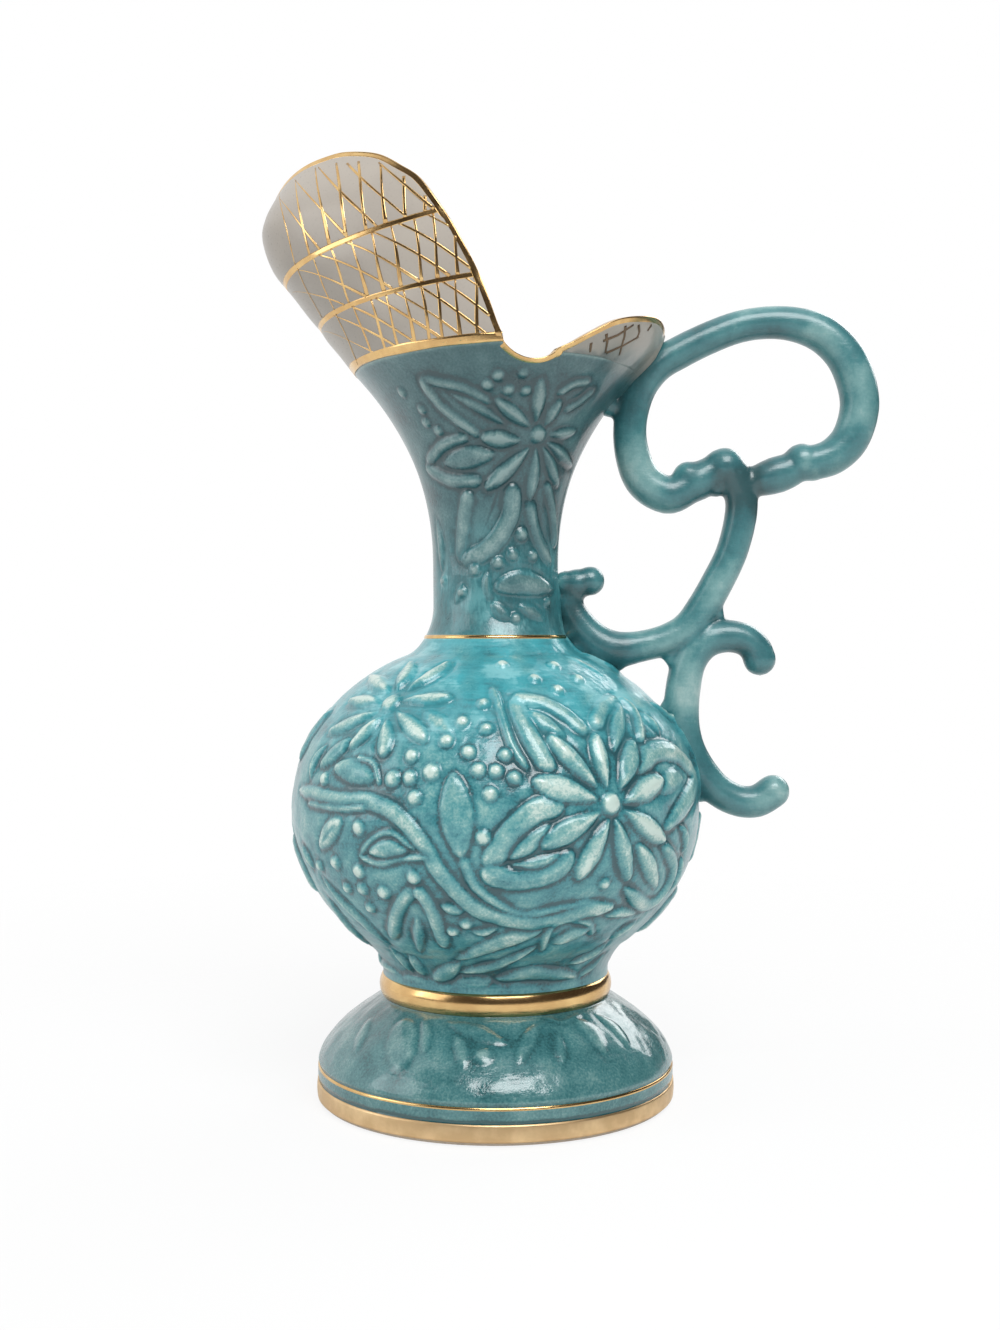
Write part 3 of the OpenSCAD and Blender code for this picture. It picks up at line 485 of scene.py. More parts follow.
@dataclass(frozen=True)
class GoldLustre(Finish):
    """A fired gold lustre, bright where it is thick and brown where it is thinner."""

    bright: Colour = (0.86, 0.6, 0.27)
    thin_gold_and_painted_glint: Colour = (0.66, 0.42, 0.18)
    rough: float = 0.13
    wear: float = 0.1
    cloud_pitch: float = 160.0
    grain_pitch: float = 1900.0
    bump: float = 0.1
    bump_depth: float = 0.0004

    def surface(self, recipe: Recipe) -> dict[str, object]:
        """Returns the lustre's values and fields by socket."""
        cloud = recipe.noise(self.cloud_pitch, 4.0)
        grain = recipe.noise(self.grain_pitch, 2.0)
        share = ((cloud - 0.42) * 3.0).at_least(0.0).at_most(1.0)
        colour = recipe.mix_colours(share, (*self.thin_gold_and_painted_glint, 1.0), (*self.bright, 1.0))
        normal = recipe.bump(cloud * 0.5 + grain * 0.2, self.bump, self.bump_depth)
        rough = self.rough + (1.0 - share) * self.wear + (grain - 0.5) * 0.08
        return {"Base Color": colour, "Metallic": 1.0, "Roughness": rough, "Normal": normal}


@dataclass(frozen=True)
class BareClay(Finish):
    """The unglazed clay of the ring that the ewer stands on, and of the foot's hollow."""

    name: str = "bare_clay"
    light: Colour = (0.55, 0.47, 0.38)
    dark: Colour = (0.33, 0.27, 0.21)
    grain_pitch: float = 900.0
    rough: float = 0.85
    bump: float = 0.4
    bump_depth: float = 0.0005

    def surface(self, recipe: Recipe) -> dict[str, object]:
        """Returns the clay's values and fields by socket."""
        grain = recipe.noise(self.grain_pitch, 5.0)
        colour = recipe.mix_colours(grain, (*self.dark, 1.0), (*self.light, 1.0))
        normal = recipe.bump(grain, self.bump, self.bump_depth)
        return {"Base Color": colour, "Roughness": self.rough, "Normal": normal}


BELLY_GLAZE = PooledGlaze(
    "belly_glaze", pooled=(0.022, 0.09, 0.108), deep=(0.036, 0.215, 0.25), ground=(0.095, 0.325, 0.345),
    crest=(0.25, 0.47, 0.45), bare=(0.58, 0.72, 0.66), streaky=0.55,
)
# The neck glaze's glint colour is a painted highlight
NECK_GLAZE = PooledGlaze(
    "neck_glaze", pooled=(0.022, 0.068, 0.078), deep=(0.036, 0.12, 0.135), ground=(0.072, 0.178, 0.19),
    crest=(0.13, 0.25, 0.255), bare=(0.24, 0.36, 0.355), stretch=(1.0, 1.0, 0.2), fresh_and_painted_toplight=(0.045, 0.25, 0.28),
    thin_gold_and_painted_glint=(0.15, 0.4, 0.42),
)
HANDLE_GLAZE = PooledGlaze(
    "handle_glaze", pooled=(0.025, 0.09, 0.1), deep=(0.035, 0.155, 0.175), ground=(0.066, 0.235, 0.252),
    crest=(0.19, 0.38, 0.38), bare=(0.38, 0.54, 0.52), cloud_pitch=70.0, cloudy=1.5, streaky=0.2,
    grainy=0.16, rough=0.24, coat_rough=0.18,
)
FOOT_GLAZE = PooledGlaze(
    "foot_glaze", pooled=(0.02, 0.08, 0.088), deep=(0.038, 0.142, 0.152), ground=(0.068, 0.195, 0.202),
    crest=(0.13, 0.265, 0.262), bare=(0.23, 0.37, 0.355), streaky=0.0, grainy=0.9,
    rough=0.08, coat_rough=0.04,
)
BRIGHT_GOLD = GoldLustre("bright_gold")
# Painted reflection: this gold is made dark brown to show the dark room that the lip strokes reflect
PEN_GOLD_PAINTED_REFLECTION = GoldLustre("pen_gold_painted_reflection", bright=(0.24, 0.17, 0.11), thin_gold_and_painted_glint=(0.15, 0.105, 0.07), rough=0.3)
WORN_GOLD = GoldLustre("worn_gold", bright=(0.86, 0.63, 0.36), thin_gold_and_painted_glint=(0.66, 0.46, 0.25), rough=0.34)


class Workshop:
    """Makes each finish once and puts finished pieces into the frame."""

    def __init__(self) -> None:
        """Starts with no finish made."""
        self.made: dict[str, bpy.types.Material] = {}

    def finish(self, kind: Finish) -> bpy.types.Material:
        """Returns a finish's material, built at its first use."""
        if kind.name not in self.made:
            self.made[kind.name] = kind.material()
        return self.made[kind.name]

    def put(self, mesh: Mesh, kinds: tuple[Finish, ...],
            nodes: tuple[str, ...]) -> None:
        """Finishes a mesh and puts it into the frame as a piece.

        Args:
            mesh: The piece's mesh, in millimetres.
            kinds: Its finishes, in the order of its faces' numbers.
            nodes: The solids that the piece stands for.
        """
        mesh.transform(Matrix.Scale(MM, 4))
        mesh.update()
        for kind in kinds:
            mesh.materials.append(self.finish(kind))
        piece = new_object(mesh.name, mesh)
        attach(piece, "root")
        if nodes:
            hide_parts(*nodes)
        triangles = sum(len(face.vertices) - 2 for face in mesh.polygons)
        LOG.info("%s: %d triangles, stands for %s", mesh.name, triangles, ", ".join(nodes) or "trim")


# Objects and meshes

def new_object(name: str, data: bpy.types.ID) -> bpy.types.Object:
    """Makes an object and links it to the scene."""
    made = bpy.data.objects.new(name, data)
    bpy.context.scene.collection.objects.link(made)
    return made


def grid_mesh(name: str, columns: int, rows: int, place: Place, weld: float = 0.002) -> Mesh:
    """Lays a grid on a surface.

    Args:
        name: The mesh's name.
        columns: Faces across.
        rows: Faces up.
        place: Gives places in millimetres for shares across and up.
        weld: Points closer than this are merged, in millimetres.

    Returns:
        The mesh, in millimetres, with smooth faces.
    """
    grid = bmesh.new()
    bmesh.ops.create_grid(grid, x_segments=columns, y_segments=rows, size=1.0)
    mesh = bpy.data.meshes.new(name)
    grid.to_mesh(mesh)
    flat = read_points(mesh)
    write_points(mesh, place((flat[:, 0] + 1.0) / 2.0, (flat[:, 1] + 1.0) / 2.0))
    grid.clear()
    grid.from_mesh(mesh)
    bmesh.ops.remove_doubles(grid, verts=grid.verts, dist=weld)
    bmesh.ops.dissolve_degenerate(grid, edges=grid.edges, dist=weld / 4)
    bmesh.ops.recalc_face_normals(grid, faces=grid.faces)
    return save_mesh(grid, mesh)


def sheet_mesh(name: str, table: Array) -> Mesh:
    """Makes a mesh from places by row and column."""
    rows, columns = table.shape[0] - 1, table.shape[1] - 1

    def place(across: Array, up: Array) -> Array:
        """Returns the places of the table."""
        return table[np.rint(up * rows).astype(int), np.rint(across * columns).astype(int)]

    return grid_mesh(name, columns, rows, place)


def save_mesh(work: Work, mesh: Mesh) -> Mesh:
    """Writes a bmesh into a mesh with smooth faces, frees it and returns the mesh."""
    for face in work.faces:
        face.smooth = True
    work.to_mesh(mesh)
    work.free()
    mesh.update()
    return mesh


def solid_mesh(work: Work, name: str) -> Mesh:
    """Saves a bmesh as a new mesh whose faces look outward."""
    bmesh.ops.recalc_face_normals(work, faces=work.faces)
    return save_mesh(work, bpy.data.meshes.new(name))


def read_points(mesh: Mesh) -> Array:
    """Returns a mesh's vertices, one row each."""
    flat = np.empty(len(mesh.vertices) * 3)
    mesh.vertices.foreach_get("co", flat)
    return flat.reshape(-1, 3)


def write_points(mesh: Mesh, points: Array) -> None:
    """Moves a mesh's vertices."""
    mesh.vertices.foreach_set("co", np.ascontiguousarray(points, dtype=np.float32).ravel())
    mesh.update()


def write_value(mesh: Mesh, name: str, values: Array) -> None:
    """Keeps one value on each vertex."""
    layer = mesh.attributes.get(name) or mesh.attributes.new(name, "FLOAT", "POINT")
    layer.data.foreach_set("value", np.ascontiguousarray(values, dtype=np.float32))


def hollowness(mesh: Mesh, rounds: int) -> Array:
    """Measures how deep each vertex lies in a hollow.

    Args:
        mesh: The mesh, in millimetres.
        rounds: How many rings of neighbours are averaged.

    Returns:
        Millimetres below the smoothed surface, negative on crests.
    """
    points = read_points(mesh)
    ends = np.empty(len(mesh.edges) * 2, dtype=np.int64)
    mesh.edges.foreach_get("vertices", ends)
    ends = ends.reshape(-1, 2)
    count = np.bincount(ends.ravel(), minlength=len(points)).astype(float)
    calm = points.copy()
    for _ in range(rounds):
        total = np.empty_like(calm)
        for axis in range(3):
            total[:, axis] = np.bincount(ends[:, 0], calm[ends[:, 1], axis], len(points))
            total[:, axis] += np.bincount(ends[:, 1], calm[ends[:, 0], axis], len(points))
        calm = (calm + total / np.maximum(count, 1.0)[:, None]) / 2.0
    arrows = np.empty(len(points) * 3)
    mesh.vertex_normals.foreach_get("vector", arrows)
    return ((calm - points) * arrows.reshape(-1, 3)).sum(axis=1)


# Relief

class Cut(Enum):
    """The ways in which a sprig is cut."""

    PETAL = "petal"
    BLADE = "blade"
    BORDER = "border"
    VINE = "vine"
    BERRY = "berry"
    FAINT = "faint"
    CREASE = "crease"


@dataclass(frozen=True)
class Section:
    """How a sprig stands on the wall.

    Its rise and the width of its edge are in millimetres. The tone is that of its top, the tip is the
    share of its length that tapers, the moat is how deep a groove runs round it, and keeps is the
    share of what lies under it that still shows.
    """

    rise: float
    edge_w: float
    tone: float
    tip_share: float
    moat: float = 1.0
    keeps: float = 0.3


WHOLE_TAPER = 0.5
SECTIONS = {
    Cut.PETAL: Section(1.2, 2.1, 0.82, WHOLE_TAPER),
    Cut.BLADE: Section(0.9, 1.7, 0.62, WHOLE_TAPER),
    Cut.BORDER: Section(0.95, 1.7, 0.66, 0.14),
    Cut.VINE: Section(0.8, 1.6, 0.58, 0.06),
    Cut.BERRY: Section(1.2, 2.0, 0.93, 0.0, moat=0.3),
    Cut.FAINT: Section(0.4, 1.8, 0.58, WHOLE_TAPER, moat=0.45, keeps=0.8),
    Cut.CREASE: Section(-0.4, 0.5, 0.2, WHOLE_TAPER, moat=0.0, keeps=1.0),
}


@dataclass(frozen=True)
class Sprig:
    """One raised shape: its cut, its width in millimetres and its run.

    The run is in photo pixels, or for a side sprig in degrees of turn and millimetres of height.
    """

    cut: Cut
    width: float
    run: tuple[Pixel, ...]
    on_side: bool = False

    def spot(self, outline: Outline, pair: Pixel) -> Array:
        """Returns the place on a wall that one pair of the run names."""
        if not self.on_side:
            return VIEW.on(outline, pair)
        turn, r = math.radians(pair[0]), float(outline.radius(pair[1]))
        return np.array([r * math.sin(turn), -r * math.cos(turn), pair[1]])

    def trace(self, outline: Outline) -> tuple[Array, Array]:
        """Lays the sprig's middle line on a wall.

        Args:
            outline: The wall's outline.

        Returns:
            Places along the line, and the half width at each.
        """
        if self.cut is Cut.BERRY:
            return self.spot(outline, self.run[0])[None], np.array([self.width / 2])
        pairs = smooth_route(np.array(self.run), 7)
        line = np.array([self.spot(outline, tuple(pair)) for pair in pairs])
        along = np.linspace(0.0, 1.0, len(line))
        tip = SECTIONS[self.cut].tip_share
        blunt, round_end = 0.03, 0.15
        lean, power = (1.3, 0.75) if self.cut is Cut.PETAL else (1.0, 0.95)
        if tip == WHOLE_TAPER:
            taper = np.sin(np.pi * mix(blunt, 1.0 - blunt, along ** lean)) ** power
        else:
            taper = np.sqrt(np.clip(np.minimum(along, 1.0 - along) / tip + round_end, 0.0, 1.0))
        return line, self.width / 2 * taper


def stroke(cut: Cut, width: float, *run: Pixel) -> Sprig:
    """Writes one sprig in a line."""
    return Sprig(cut, width, run)


def side_blade(width: float, *run: Pair) -> Sprig:
    """Writes one blade that lies round the side, by turn and height."""
    return Sprig(Cut.BLADE, width, run, on_side=True)


def berries(width: float, *places: Pixel) -> tuple[Sprig, ...]:
    """Writes a cluster of berries in a line."""
    return tuple(Sprig(Cut.BERRY, width, (place,)) for place in places)


petal, blade, border = (partial(stroke, cut) for cut in (Cut.PETAL, Cut.BLADE, Cut.BORDER))
vine, faint, crease = (partial(stroke, cut) for cut in (Cut.VINE, Cut.FAINT, Cut.CREASE))


@dataclass
class Skin:
    """The places of a bare wall and what is pressed into it so far."""

    points: Array
    lift: Array
    tone: Array
    patch: Array


@dataclass(frozen=True)
class Relief:
    """Sprigs pressed into a turned wall, once on the photographed side and once behind."""

    outline: Outline
    sprigs: tuple[Sprig, ...]
    height_share: float = 1.0
    ground_tone: float = 0.42
    moat_depth: float = 0.32
    moat_width: float = 1.3
    moat_share: float = 1.0
    soft: float = 0.7
    edge_tone: float = 0.34
    shade: float = 0.07
    shade_step: float = 2.4
    patchy: float = 0.1
    pool: Pair = (0.44, 0.26)
    round_share: float = 0.55
    full_w: float = 1.5
    slim_w: float = 0.2
    least_share: float = 0.35
    moat_reach: float = 3.0
    patches: Waver = Waver(1.0, 6.0, 31)
    clouds: Waver = Waver(0.12, 15.0, 17)

    def press(self, points: Array) -> tuple[Array, Array]:
        """Works out the relief at places on the bare wall.

        Args:
            points: Places on the wall, in millimetres.

        Returns:
            How far each place is lifted, and its glaze tone.
        """
        ground = self.ground_tone + self.clouds.at(points)
        skin = Skin(points, np.zeros(len(points)), ground, self.patches.at(points))
        for k, sprig in enumerate(self.sprigs):
            line, half = sprig.trace(self.outline)
            shade = self.shade * math.sin(self.shade_step * k)
            for front in (1.0, -1.0):
                turned = line * np.array([front, front, 1.0])
                self.press_one(SECTIONS[sprig.cut], turned, half, shade, skin)
        return skin.lift * self.height_share, skin.tone

    def press_one(self, section: Section, line: Array, half: Array, shade: float,
                  skin: Skin) -> None:
        """Presses one sprig over what is there.

        Args:
            section: How the sprig stands on the wall.
            line: The sprig's middle line.
            half: Half width along it.
            shade: How much paler than its section this sprig is.
            skin: The wall, changed here.
        """
        margin = half.max() + self.moat_reach * self.moat_width
        low, high = line.min(axis=0) - margin, line.max(axis=0) + margin
        near = np.flatnonzero(((skin.points > low) & (skin.points < high)).all(axis=1))
        if not len(near):
            return
        gap, width = self.distance(skin.points[near], line, half)
        patch = skin.patch[near]
        within = np.clip(-gap / np.maximum(width, self.slim_w), 0.0, 1.0)
        edge = np.clip(-gap / section.edge_w, 0.0, 1.0)
        crown = mix(within, np.sqrt(1.0 - (1.0 - edge) ** 2), self.round_share)
        top = section.rise * np.clip(width / self.full_w, self.least_share, 1.0) * crown
        under, ground = skin.lift[near], skin.tone[near]
        moat = section.moat * self.moat_share * np.exp(-(np.maximum(gap, 0.0) / self.moat_width) ** 2)
        cover = 1.0 - ease((gap + self.soft) / (2 * self.soft))
        keeps = section.keeps * (under if section.keeps == 1.0 else np.maximum(under, 0.0))
        skin.lift[near] = mix(under - self.moat_depth * moat, top + keeps, cover)
        body = mix(self.edge_tone, section.tone + shade, ease(edge)) + self.patchy * patch
        pooled = ground * (1.0 - moat * (self.pool[0] + self.pool[1] * patch))
        skin.tone[near] = mix(pooled, body, cover)

    @staticmethod
    def distance(points: Array, line: Array, half: Array) -> tuple[Array, Array]:
        """Measures how far places lie from a sprig's edge.

        Args:
            points: Places on the wall.
            line: The sprig's middle line.
            half: Half width along it.

        Returns:
            The distance from the edge, negative inside, and the half width there.
        """
        if len(line) == 1:
            reach = np.linalg.norm(points - line[0], axis=1)
            return reach - half[0], np.full(len(points), half[0])
        gap = np.full(len(points), 1e9)
        width = np.full(len(points), half[0])
        for a, b, ha, hb in zip(line[:-1], line[1:], half[:-1], half[1:]):
            run = b - a
            share = np.clip((points - a) @ run / max(float(run @ run), 1e-9), 0.0, 1.0)
            there = np.linalg.norm(points - a - share[:, None] * run, axis=1)
            wide = ha + (hb - ha) * share
            closer = there - wide < gap
            gap = np.where(closer, there - wide, gap)
            width = np.where(closer, wide, width)
        return gap, width


BELLY_SPRIGS: tuple[Sprig, ...] = (
    blade(5.2, (457, 961), (505, 942), (549, 929)),
    blade(3.6, (459, 975), (497, 966), (537, 948)),
    blade(4.6, (496, 981), (536, 974), (578, 978)),
    blade(4.2, (453, 984), (471, 986), (491, 982)),
    blade(4.6, (434, 980), (447, 974), (459, 965)),
    blade(3.4, (440, 991), (466, 991), (489, 985)),
    blade(3.2, (391, 950), (402, 961), (412, 974)),
    blade(3.6, (410, 957), (417, 966), (424, 976)),
    blade(3.2, (403, 978), (415, 983), (429, 987)),
    border(2.4, (543, 951), (550, 931), (566, 922), (586, 923), (593, 935)),
    blade(4.6, (555, 944), (572, 936), (589, 930)),
    blade(3.6, (571, 965), (590, 956), (607, 945)),
    blade(2.8, (580, 978), (592, 967), (605, 955)),
    blade(3.4, (607, 917), (622, 913), (637, 914)),
    blade(3.4, (612, 940), (624, 930), (637, 922)),
    blade(4.0, (322, 879), (343, 903), (366, 925), (390, 946)),
    blade(3.2, (328, 899), (348, 925), (372, 948)),
    blade(3.2, (372, 955), (384, 966), (398, 976)),
    border(3.6, (417, 890), (404, 901), (396, 917), (393, 939)),
    border(3.9, (418, 890), (429, 906), (437, 925), (445, 947)),
    blade(3.2, (417, 919), (419, 936), (420, 953)),
    blade(3.6, (442, 907), (453, 910), (464, 912)),
    blade(2.8, (474, 934), (485, 933), (496, 930)),
    vine(2.8, (462, 856), (475, 886), (500, 906), (524, 917), (566, 909), (600, 904)),
    vine(4.4, (301, 790), (335, 800), (370, 802), (396, 814), (423, 846), (442, 876),
         (473, 908), (500, 919), (536, 924), (582, 913), (612, 908)),
    vine(1.8, (308, 803), (338, 809), (366, 808)),
    border(1.9, (360, 856), (374, 839), (392, 834), (413, 850)),
    border(1.9, (360, 857), (380, 864), (402, 859), (428, 858)),
    blade(4.6, (369, 853), (388, 849), (406, 851)),
    blade(5.4, (341, 820), (330, 833), (320, 848)),
    crease(1.2, (338, 825), (330, 834), (323, 844)),
    blade(6.2, (335, 767), (354, 771), (376, 778)),
    vine(1.5, (358, 757), (374, 764), (379, 783)),
    blade(5.0, (352, 739), (336, 752), (320, 767)),
    blade(3.4, (326, 745), (316, 760), (310, 778)),
    blade(3.2, (302, 845), (308, 857), (313, 869)),
    blade(8.0, (454, 774), (457, 815), (461, 857)),
    border(2.6, (493, 687), (502, 713), (512, 744), (527, 768)),
    border(5.0, (515, 700), (530, 734), (550, 768)),
    border(4.4, (515, 697), (545, 703), (568, 716), (585, 731)),
    blade(4.4, (529, 711), (546, 724), (565, 737)),
    border(4.4, (617, 699), (604, 708), (596, 724)),
    border(3.4, (622, 699), (636, 714), (642, 741)),
    blade(4.6, (621, 703), (618, 727), (615, 751)),
    blade(3.2, (643, 713), (652, 722), (660, 733)),
    blade(3.0, (651, 702), (664, 713), (676, 728)),
    border(5.6, (641, 769), (652, 752), (674, 752), (692, 773), (690, 797), (667, 828)),
    faint(5.0, (660, 792), (672, 780), (684, 778)),
    border(6.0, (560, 804), (534, 813), (509, 837), (490, 866)),
    border(5.8, (487, 874), (516, 880), (550, 874), (570, 857)),
    blade(4.4, (511, 860), (530, 845), (552, 826)),
    blade(2.8, (513, 866), (540, 863), (561, 853)),
    border(4.0, (664, 845), (674, 866), (665, 892), (646, 906), (627, 890)),
    blade(5.0, (639, 845), (650, 866), (657, 888)),
    blade(3.6, (681, 826), (686, 838), (684, 854)),
    blade(3.6, (683, 858), (679, 874), (669, 893)),
    petal(4.8, (608, 785), (601, 759), (595, 734)),
    petal(5.8, (622, 787), (629, 765), (633, 742)),
    petal(5.8, (628, 801), (645, 790), (662, 779)),
    petal(5.4, (627, 812), (646, 826), (665, 841)),
    petal(5.4, (617, 821), (624, 850), (629, 880)),
    petal(5.4, (609, 822), (595, 850), (579, 879)),
    petal(5.8, (599, 814), (572, 830), (544, 846)),
    petal(6.2, (596, 799), (566, 790), (536, 781)),
    petal(5.0, (597, 785), (574, 761), (550, 736)),
    petal(4.6, (404, 701), (428, 699), (452, 698)),
    petal(4.6, (408, 690), (430, 677), (452, 662)),
    petal(5.0, (398, 690), (405, 678), (413, 663)),
    petal(5.0, (388, 692), (381, 685), (371, 677)),
    petal(4.6, (380, 702), (366, 701), (349, 702)),
    petal(4.4, (376, 712), (354, 722), (329, 733)),
    petal(4.2, (380, 718), (367, 731), (351, 748)),
    petal(4.8, (387, 720), (386, 738), (384, 755)),
    petal(4.8, (397, 712), (411, 725), (426, 740)),
    *berries(5.4, (612, 804)),
    *berries(5.6, (392, 703)),
    faint(4.4, (425, 712), (440, 722), (452, 735)),
    faint(3.4, (565, 655), (585, 664), (604, 677)),
    *berries(3.9, (412, 756), (447, 741), (410, 778), (415, 798), (469, 752), (479, 770), (491, 794)),
    *berries(4.6, (432, 772), (393, 779)),
    *berries(3.7, (497, 771), (506, 755), (515, 778), (463, 722), (484, 704), (487, 729), (325, 779)),
    *berries(4.0, (484, 838), (359, 828), (336, 863), (359, 872), (363, 889), (384, 893), (414, 878)),
    *berries(3.4, (348, 888), (371, 908), (320, 866), (466, 925), (453, 932), (605, 884)),
    *berries(3.7, (535, 679), (558, 690), (578, 679), (554, 666), (503, 665)),
    side_blade(6.4, (86, 73), (89, 68.5), (87, 60)),
    side_blade(5.4, (-76, 100), (-79, 94), (-80, 87)),
    side_blade(5.4, (80, 55), (76, 50), (70, 44)),
    side_blade(5.4, (-82, 68.5), (-77, 61), (-74, 54)),
)

NECK_SPRIGS: tuple[Sprig, ...] = (
    border(3.2, (422, 380), (445, 384), (468, 391), (489, 404)),
    border(3.0, (422, 381), (443, 408), (479, 436)),
    blade(3.0, (452, 395), (478, 407), (504, 424)),
    border(3.2, (428, 464), (443, 446), (466, 438)),
    border(3.5, (427, 468), (452, 481), (480, 481)),
    blade(5.6, (445, 464), (468, 458), (495, 454)),
    border(2.4, (560, 394), (574, 385), (588, 383)),
    border(2.4, (566, 410), (580, 402), (592, 392)),
    border(4.0, (468, 494), (463, 526), (462, 561)),
    border(5.0, (513, 488), (510, 517), (492, 546), (465, 562)),
    crease(1.2, (500, 484), (492, 510), (481, 536)),
    border(3.4, (530, 502), (536, 532), (550, 563)),
    border(3.2, (547, 485), (553, 512), (555, 545)),
    blade(6.4, (495, 588), (523, 583), (554, 591)),
    blade(2.4, (487, 573), (487, 586), (490, 600)),
    blade(3.4, (492, 604), (501, 612), (511, 618)),
    blade(3.2, (520, 606), (532, 612), (545, 620)),
    blade(2.6, (462, 584), (460, 593), (456, 602)),
    blade(3.0, (437, 520), (441, 545), (442, 570)),
    petal(4.6, (520, 441), (503, 440), (483, 438)),
    petal(3.8, (530, 427), (515, 415), (497, 400)),
    petal(3.8, (537, 421), (539, 401), (541, 379)),
    petal(3.4, (545, 426), (552, 415), (560, 401)),
    petal(3.2, (551, 435), (562, 434), (575, 432)),
    petal(3.4, (548, 444), (559, 453), (572, 466)),
    petal(3.6, (544, 449), (551, 466), (558, 486)),
    petal(3.6, (536, 450), (534, 474), (530, 500)),
    petal(4.4, (528, 450), (508, 470), (486, 489)),
    *berries(4.4, (538, 435)),
    *berries(3.2, (488, 385), (498, 376), (509, 390), (524, 373), (526, 391)),
    *berries(3.0, (403, 393), (423, 410), (427, 423), (439, 431)),
    *berries(3.6, (522, 535), (513, 555), (498, 563), (475, 570)),
    *berries(3.0, (533, 556), (462, 592), (444, 581), (516, 618), (547, 602)),
)

FOOT_SPRIGS: tuple[Sprig, ...] = (
    blade(9.0, (404, 1022), (402, 1044), (401, 1072)),
    blade(3.4, (425, 1020), (426, 1038), (424, 1056)),
    blade(5.0, (448, 1024), (476, 1034), (508, 1046)),
    blade(4.0, (456, 1036), (462, 1052), (464, 1070)),
    blade(4.4, (538, 1026), (528, 1044), (518, 1066)),
    blade(3.4, (559, 1036), (561, 1050), (564, 1066)),
    blade(5.2, (574, 1020), (592, 1034), (606, 1056)),
    blade(4.2, (596, 1016), (616, 1030), (630, 1050)),
    blade(4.2, (370, 1020), (362, 1036), (356, 1054)),
    vine(2.0, (546, 1018), (562, 1024), (580, 1016)),
    *berries(5.0, (484, 1058)),
)


# Turned body

WAIST_R = 29.2
WAIST_SEAM_Z = 29.0
NECK_ROOT_R = 18.2
NECK_SEAM_Z = 118.6
MOST_LIFT = 1.6
BRIGHTEST = 1.1
CALM_ROUNDS = 6


@dataclass
class GlazedWall:
    """A turned wall with sprigs pressed into it under a pooled glaze.

    Sprigs fade out at its lower and upper end. The glaze is paler inside, and at some heights and
    where its tone is dark it turns a fresher turquoise, which on the upper belly is painted light
    from above.
    """

    low_fade: Pair = (-0.6, 1.9)
    high_fade: Pair = (0.0, 4.0)
    wavers: tuple[Waver, ...] = (Waver(0.1, 26.0, 3), Waver(0.07, 7.0, 4), Waver(0.045, 3.0, 6))
    inside_tone: float = 0.4
    inside_pale: float = 0.85
    contrast: float = 1.0
    pool: float = 1.6
    # Where the fresher turquoise lies; on the belly's upper part it is painted light from above
    fresh_and_painted_toplight_z: Pair = (88.0, 106.0)
    fresh_and_painted_toplight_tones: Pair = (0.62, 0.42)
    fresh_and_painted_toplight_share: float = 0.75
    fresh_and_painted_toplight_waver: Waver = Waver(0.25, 14.0, 8)

    def press_sprigs(self, mesh: Mesh, relief: Relief, low_z: float,
                     top: Callable[[Array], Array], handle: "Handle") -> Array:
        """Presses sprigs into the wall's outside and keeps the glaze's tones on its vertices.

        Args:
            mesh: The bare wall, in millimetres, changed here.
            relief: The sprigs.
            low_z: Height of the wall's lower end.
            top: Gives the height of the wall's upper end above places on it.
            handle: The handle that is luted to the wall.

        Returns:
            Tells which vertices lie on the outside.
        """
        points = read_points(mesh)
        skin = relief.outline.skin(points)
        bare = points[skin]
        lift, tone = relief.press(bare)
        fade = ramp(bare[:, 2] - low_z, self.low_fade) * ramp(top(bare) - bare[:, 2], self.high_fade)
        lift = (lift + sum(waver.at(bare) for waver in self.wavers)) * fade
        lift = np.minimum(lift + handle.fillet(bare), MOST_LIFT)
        points[skin] += relief.outline.outward(bare) * lift[:, None]
        write_points(mesh, points)
        tones = np.full(len(points), self.inside_tone)
        tones[skin] = mix(self.inside_tone, mix(relief.ground_tone, tone, fade), self.contrast)
        hollow = hollowness(mesh, CALM_ROUNDS)
        write_value(mesh, TONE, np.clip(tones - self.pool * hollow, 0.0, BRIGHTEST))
        write_value(mesh, PALE, np.where(skin, 0.0, self.inside_pale))
        # The fresher turquoise zone, which on the upper belly is painted light from above
        fresh_and_painted_toplight_zone = ramp(points[:, 2], self.fresh_and_painted_toplight_z) * ramp(tones, self.fresh_and_painted_toplight_tones)
        write_value(mesh, FRESH_AND_PAINTED_TOPLIGHT, fresh_and_painted_toplight_zone * (self.fresh_and_painted_toplight_share + self.fresh_and_painted_toplight_waver.at(points)) * skin)
        return skin


